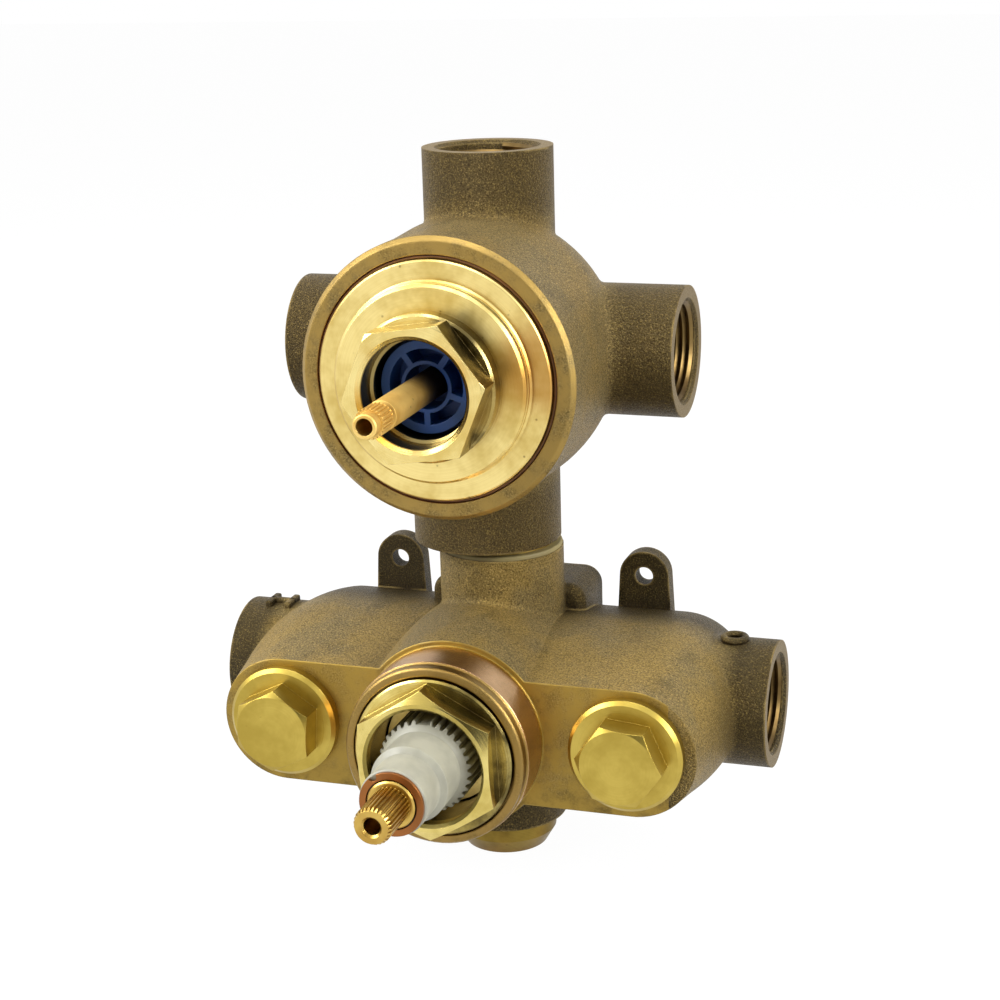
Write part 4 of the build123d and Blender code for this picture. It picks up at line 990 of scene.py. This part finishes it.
@dataclass
class Finishes:
    """Every material of the valve, by the record's slot, and those that one node has to itself."""

    slots: dict[str, bpy.types.Material] = field(default_factory=dict)
    own: dict[str, bpy.types.Material] = field(default_factory=dict)

    def castings(self) -> None:
        """Make the two castings' materials."""
        rim = Zone(DIVERTER_HEIGHT, (31.06, 35.6), (66.5, 68.5), (162, 134, 72), 0.42, 0.7, patchy=0.15)
        # painted shade: the groove's walls between the rim and the bonnet are dark red-brown
        groove = Zone(DIVERTER_HEIGHT, (28.5, 31.06), (60.0, 68.5), (120, 66, 28), 0.5, 0.3)
        # painted shade on the diverter: out along the ports and near the wall
        painted_shade = PaintedShade(DIVERTER_HEIGHT, (34.0, 42.0), (200.0, 201.0))
        self.own["diverter_body"] = CastBrass(
            "cast_diverter",
            (-52.05, 52.05, 119.25),
            painted_shade,
            (rim, groove),
            skin=(122, 105, 66),
            warm=(130, 108, 60),
            shade_colour=(72, 59, 32),
        ).build()
        face = Zone(
            MIXER_HEIGHT, (24.0, 120.0), (64.1, 64.6), (164, 136, 64), 0.42, 0.8, (-99.0, 57.0), 0.3
        )
        collar = Zone(MIXER_HEIGHT, (18.0, 24.6), (65.2, 75.9), (204, 166, 124), 0.26, 1.0, patchy=0.8)
        ridge = Zone(MIXER_HEIGHT, (24.0, 24.6), (64.3, 65.2), (214, 182, 92), 0.3, 1.0)
        lip = Zone(MIXER_HEIGHT, (18.0, 24.6), (75.9, 80.0), (150, 122, 68), 0.34, 1.0)
        # painted shade on the mixer: out along the ports, up the neck, under the boss and near the wall
        self.own["mixer_body"] = CastBrass(
            "cast_mixer",
            (-74.75, 76.35, 999.0),
            PaintedShade(MIXER_HEIGHT, (63.0, 70.0), (22.0, 30.0), (-36.0, -43.0)),
            (face, collar, ridge, lip),
            skin=(132, 114, 72),
            warm=(146, 122, 66),
            shade_colour=(40, 33, 18),
        ).build()

    def brass(self) -> None:
        """Make the machined brass."""
        low = MIXER_HEIGHT
        # the machined brass gets painted shade on the right of the bonnet flange
        self.slots["machined_brass"] = TurnedBrass(
            "machined_brass", (248, 226, 150), (206, 178, 98), roughness=0.32, shade_at=(27.0, 72.0, 13.0)
        ).build()
        # the nuts get painted shade in their bores and darker patches on their right flats
        self.slots["nut_brass"] = TurnedBrass(
            "nut_brass", (246, 226, 152), (220, 192, 110), roughness=0.24, bore_and_flats=(13.5, 14.5, 83.7)
        ).build()
        self.own["cartridge_nut"] = TurnedBrass(
            "lower_nut_brass", (232, 212, 132), (196, 174, 92), low, roughness=0.22, bore_and_flats=(15.4, 15.6, 83.7)
        ).build()
        for node, across in (("hot_cap", -CAP_SPAN), ("cold_cap", CAP_SPAN)):
            self.own[node] = TurnedBrass(
                node + "_brass", (200, 176, 86), (174, 150, 66), low, across, 0.34, stains=0.2
            ).build()
        self.slots["cap_brass"] = TurnedBrass(
            "cap_brass", (138, 116, 52), (104, 84, 36), low, roughness=0.4
        ).build()
        # the spindle gets painted shade at its base
        self.slots["spindle_brass"] = TurnedBrass(
            "spindle_brass", (250, 218, 134), (214, 172, 88), roughness=0.46, base_shade=(75, 88), lines=0.00008
        ).build()
        self.own["temperature_spindle"] = TurnedBrass(
            "lower_spindle_brass", (214, 182, 96), (176, 136, 62), low, roughness=0.3
        ).build()
        self.slots["thread_brass"] = TurnedBrass(
            "thread_brass", (128, 106, 64), (84, 66, 38), roughness=0.4, lines=0.00001
        ).build()

    def others(self) -> None:
        """Make plastic, rubber, copper, steel and paste."""
        self.slots["blue_plastic"] = Moulded("blue_plastic", (30, 84, 168), 0.4).build()
        # the white plastic, the copper and the groove bead get dust and painted shade in their hollows
        self.slots["white_plastic"] = Moulded(
            "white_plastic", (180, 178, 160), 0.42, 0.3, hollow_dust_and_shade=0.9
        ).build()
        self.slots["dark_plastic"] = Moulded("dark_plastic", (44, 44, 46)).build()
        self.slots["ceramic"] = Moulded("ceramic", (226, 222, 212), 0.2).build()
        self.slots["seal_rubber"] = Moulded("seal_rubber", (26, 26, 27), 0.6).build()
        self.slots["copper"] = Moulded("copper", (164, 104, 54), 0.36, metallic=0.85, hollow_dust_and_shade=0.4).build()
        self.slots["sealant"] = Moulded("sealant", (150, 136, 88), 0.6).build()
        # colour of the brown bead that stands as painted shade in the groove
        self.own["groove_shade_bead"] = Moulded("groove_shade_bead", (138, 84, 40), 0.5, hollow_dust_and_shade=0.5).build()
        self.slots["spring_steel"] = Moulded("spring_steel", (170, 170, 172), 0.3, metallic=1.0).build()

    def build(self) -> None:
        """Make every material."""
        self.castings()
        self.brass()
        self.others()

    def dress(self) -> None:
        """Give every CAD node its own material, or that of its slot."""
        for part in frame["record"]["subparts"]:
            name = part["node"]
            material = self.own.get(name) or self.slots[part["material_slot"]]
            node = frame["nodes"][name]
            node.data.materials.clear()
            node.data.materials.append(material)
            log.info("dressed %s in %s", name, material.name)


@dataclass
class Ports:
    """The threads and cast marks of the five ports, in millimetres."""

    outlet_reach: float = 52.1
    top_reach: float = 51.8
    inlet_reach: dict[Side, float] = field(default_factory=lambda: {Side.HOT: 74.8, Side.COLD: 76.4})

    def threads(self) -> list[PipeThread]:
        """List the five threads.

        Returns:
            The threads.
        """
        top = (0, -PORTS_DEPTH, DIVERTER_HEIGHT + self.top_reach)
        found = [PipeThread("thread_top", top, (0, 0, -1))]
        for side in Side:
            way = side.value
            upper = (way * self.outlet_reach, -PORTS_DEPTH, DIVERTER_HEIGHT)
            lower = (way * self.inlet_reach[side], -PORTS_DEPTH, MIXER_HEIGHT)
            word = side.name.lower()
            found.append(PipeThread("thread_upper_" + word, upper, (-way, 0, 0)))
            found.append(PipeThread("thread_lower_" + word, lower, (-way, 0, 0)))
        return found

    def build(self, finishes: Finishes) -> None:
        """Make threads and marks.

        Args:
            finishes: The valve's materials.
        """
        for thread in self.threads():
            thread.build(finishes.slots["thread_brass"])
        for side in Side:
            PortMark(side).build(finishes.own["mixer_body"])


@dataclass(frozen=True)
class Lamp:
    """Square lamp that faces the valve: place and side in metres, power in watts."""

    name: str
    place: tuple[float, float, float]
    side: float
    power: float

    def hang(self) -> None:
        """Hang the lamp."""
        data = bpy.data.lights.new(self.name, "AREA")
        data.energy = self.power
        data.size = self.side
        lamp = bpy.data.objects.new(self.name, data)
        lamp.location = self.place
        lamp.rotation_mode = "QUATERNION"
        lamp.rotation_quaternion = (Vector(self.place) - AIM).to_track_quat("Z", "Y")
        bpy.context.scene.collection.objects.link(lamp)


@dataclass(frozen=True)
class Card:
    """Dark card outside the view, so that metal has something dark to reflect, in metres."""

    name: str
    place: tuple[float, float, float]
    size: tuple[float, float]
    colour: tuple[float, float, float, float] = (0.03, 0.026, 0.02, 1)

    def stand(self) -> None:
        """Stand the card so that it faces the valve and only reflections show it."""
        bpy.ops.mesh.primitive_plane_add(size=1.0)
        card = bpy.context.object
        card.scale = (*self.size, 1.0)
        card.rotation_mode = "QUATERNION"
        card.rotation_quaternion = (AIM - Vector(self.place)).to_track_quat("Z", "Y")
        card.location = self.place
        settle(card, self.name)
        card.data.materials.append(Graph(self.name).finish(self.colour, 0.0, 0.9))
        card.visible_camera = False
        card.visible_shadow = False
        card.visible_diffuse = False


LAMPS = (
    Lamp("left", (-0.80, -0.45, 0.60), 0.6, 13),
    Lamp("right", (0.90, -0.20, 0.40), 0.5, 10),
    Lamp("top", (0.0, -0.05, 1.0), 0.5, 6),
)
CARDS = (
    Card("card_front", (0.35, -1.25, 0.35), (0.9, 1.3)),
    Card("card_right", (1.25, -0.55, -0.05), (0.9, 0.5)),
)


@dataclass(frozen=True)
class Studio:
    """Camera, floor and background: angles in degrees, lengths in millimetres."""

    azimuth: float = 18.59
    elevation: float = 16.21
    roll: float = -1.64
    lens: float = 73.94
    eye: tuple[float, float, float] = (169.8, -525.6, 178.85)
    floor_height: float = -73.9
    ambient: float = 0.08
    floor_grey: float = 0.30
    glow: float = 1.28
    glow_share: float = 0.75

    def place_camera(self) -> None:
        """Set the camera at the photograph's point of view."""
        turn, lift, lean = (math.radians(value) for value in (self.azimuth, self.elevation, self.roll))
        back = Vector((math.sin(turn) * math.cos(lift), -math.cos(turn) * math.cos(lift), math.sin(lift)))
        level = Vector((math.cos(turn), math.sin(turn), 0))
        upright = back.cross(level)
        right = math.cos(lean) * level + math.sin(lean) * upright
        up = -math.sin(lean) * level + math.cos(lean) * upright
        data = bpy.data.cameras.new("camera")
        data.lens = self.lens
        data.sensor_width = 36.0
        camera = bpy.data.objects.new("camera", data)
        bpy.context.scene.collection.objects.link(camera)
        placed = Matrix((right, up, back)).transposed().to_4x4()
        placed.translation = Vector(self.eye) * MM
        camera.matrix_world = placed
        bpy.context.scene.camera = camera

    def seen_white(self, tree: bpy.types.NodeTree) -> bpy.types.NodeSocket:
        """Tell which rays look at the background: the camera's, and those that metal or glass sends on.

        Args:
            tree: The node tree to add to.

        Returns:
            1 for such rays, 0 for others.
        """
        path = tree.nodes.new("ShaderNodeLightPath")
        share = path.outputs["Is Camera Ray"]
        for name in ("Is Glossy Ray", "Is Transmission Ray"):
            node = tree.nodes.new("ShaderNodeMath")
            node.operation = "MAXIMUM"
            tree.links.new(share, node.inputs[0])
            tree.links.new(path.outputs[name], node.inputs[1])
            share = node.outputs[0]
        return share

    def light_world(self) -> None:
        """Make the background white to the camera and to metal, and soft grey to the rest."""
        world = bpy.data.worlds.new("world")
        bpy.context.scene.world = world
        world.use_nodes = True
        tree = world.node_tree
        background = tree.nodes["Background"]
        strength = tree.nodes.new("ShaderNodeMapRange")
        strength.inputs["To Min"].default_value = self.ambient
        strength.inputs["To Max"].default_value = 1.0
        tree.links.new(self.seen_white(tree), strength.inputs["Value"])
        tree.links.new(strength.outputs["Result"], background.inputs["Strength"])
        background.inputs["Color"].default_value = (1, 1, 1, 1)

    def lay_floor(self) -> None:
        """Lay a pale floor that shows white and keeps a soft shadow."""
        bpy.ops.mesh.primitive_plane_add(size=8.0, location=(0, 0, self.floor_height * MM))
        floor = settle(bpy.context.object, "floor")
        graph = Graph("floor")
        graph.finish((self.floor_grey, self.floor_grey, self.floor_grey, 1), 0.0, 0.9)
        glow = graph.tree.nodes.new("ShaderNodeEmission")
        glow.inputs["Strength"].default_value = self.glow
        mixed = graph.tree.nodes.new("ShaderNodeMixShader")
        share = graph.maths("MULTIPLY", self.seen_white(graph.tree), self.glow_share)
        graph.put(mixed.inputs["Fac"], share)
        graph.put(mixed.inputs[1], graph.shader.outputs[0])
        graph.put(mixed.inputs[2], glow.outputs[0])
        output = graph.tree.nodes["Material Output"]
        graph.put(output.inputs["Surface"], mixed.outputs[0])
        floor.data.materials.append(graph.material)

    def build(self) -> None:
        """Set up the whole studio."""
        bpy.context.scene.view_settings.view_transform = "Standard"
        self.light_world()
        self.place_camera()
        self.lay_floor()
        for lamp in LAMPS:
            lamp.hang()
        for card in CARDS:
            card.stand()
        log.info("studio ready")


def main() -> None:
    """Dress the CAD model, add what the casting shows and light it."""
    logging.basicConfig(level=logging.INFO, format="%(name)s: %(message)s")
    finishes = Finishes()
    finishes.build()
    finishes.dress()
    for spring in SPRINGS:
        spring.build(finishes.slots["spring_steel"])
    Ports().build(finishes)
    # brown bead that stands as painted shade in the groove between the rim and the bonnet
    GrooveShadeBead().build(finishes.own["groove_shade_bead"])
    Studio().build()


if __name__ == "__main__":
    main()
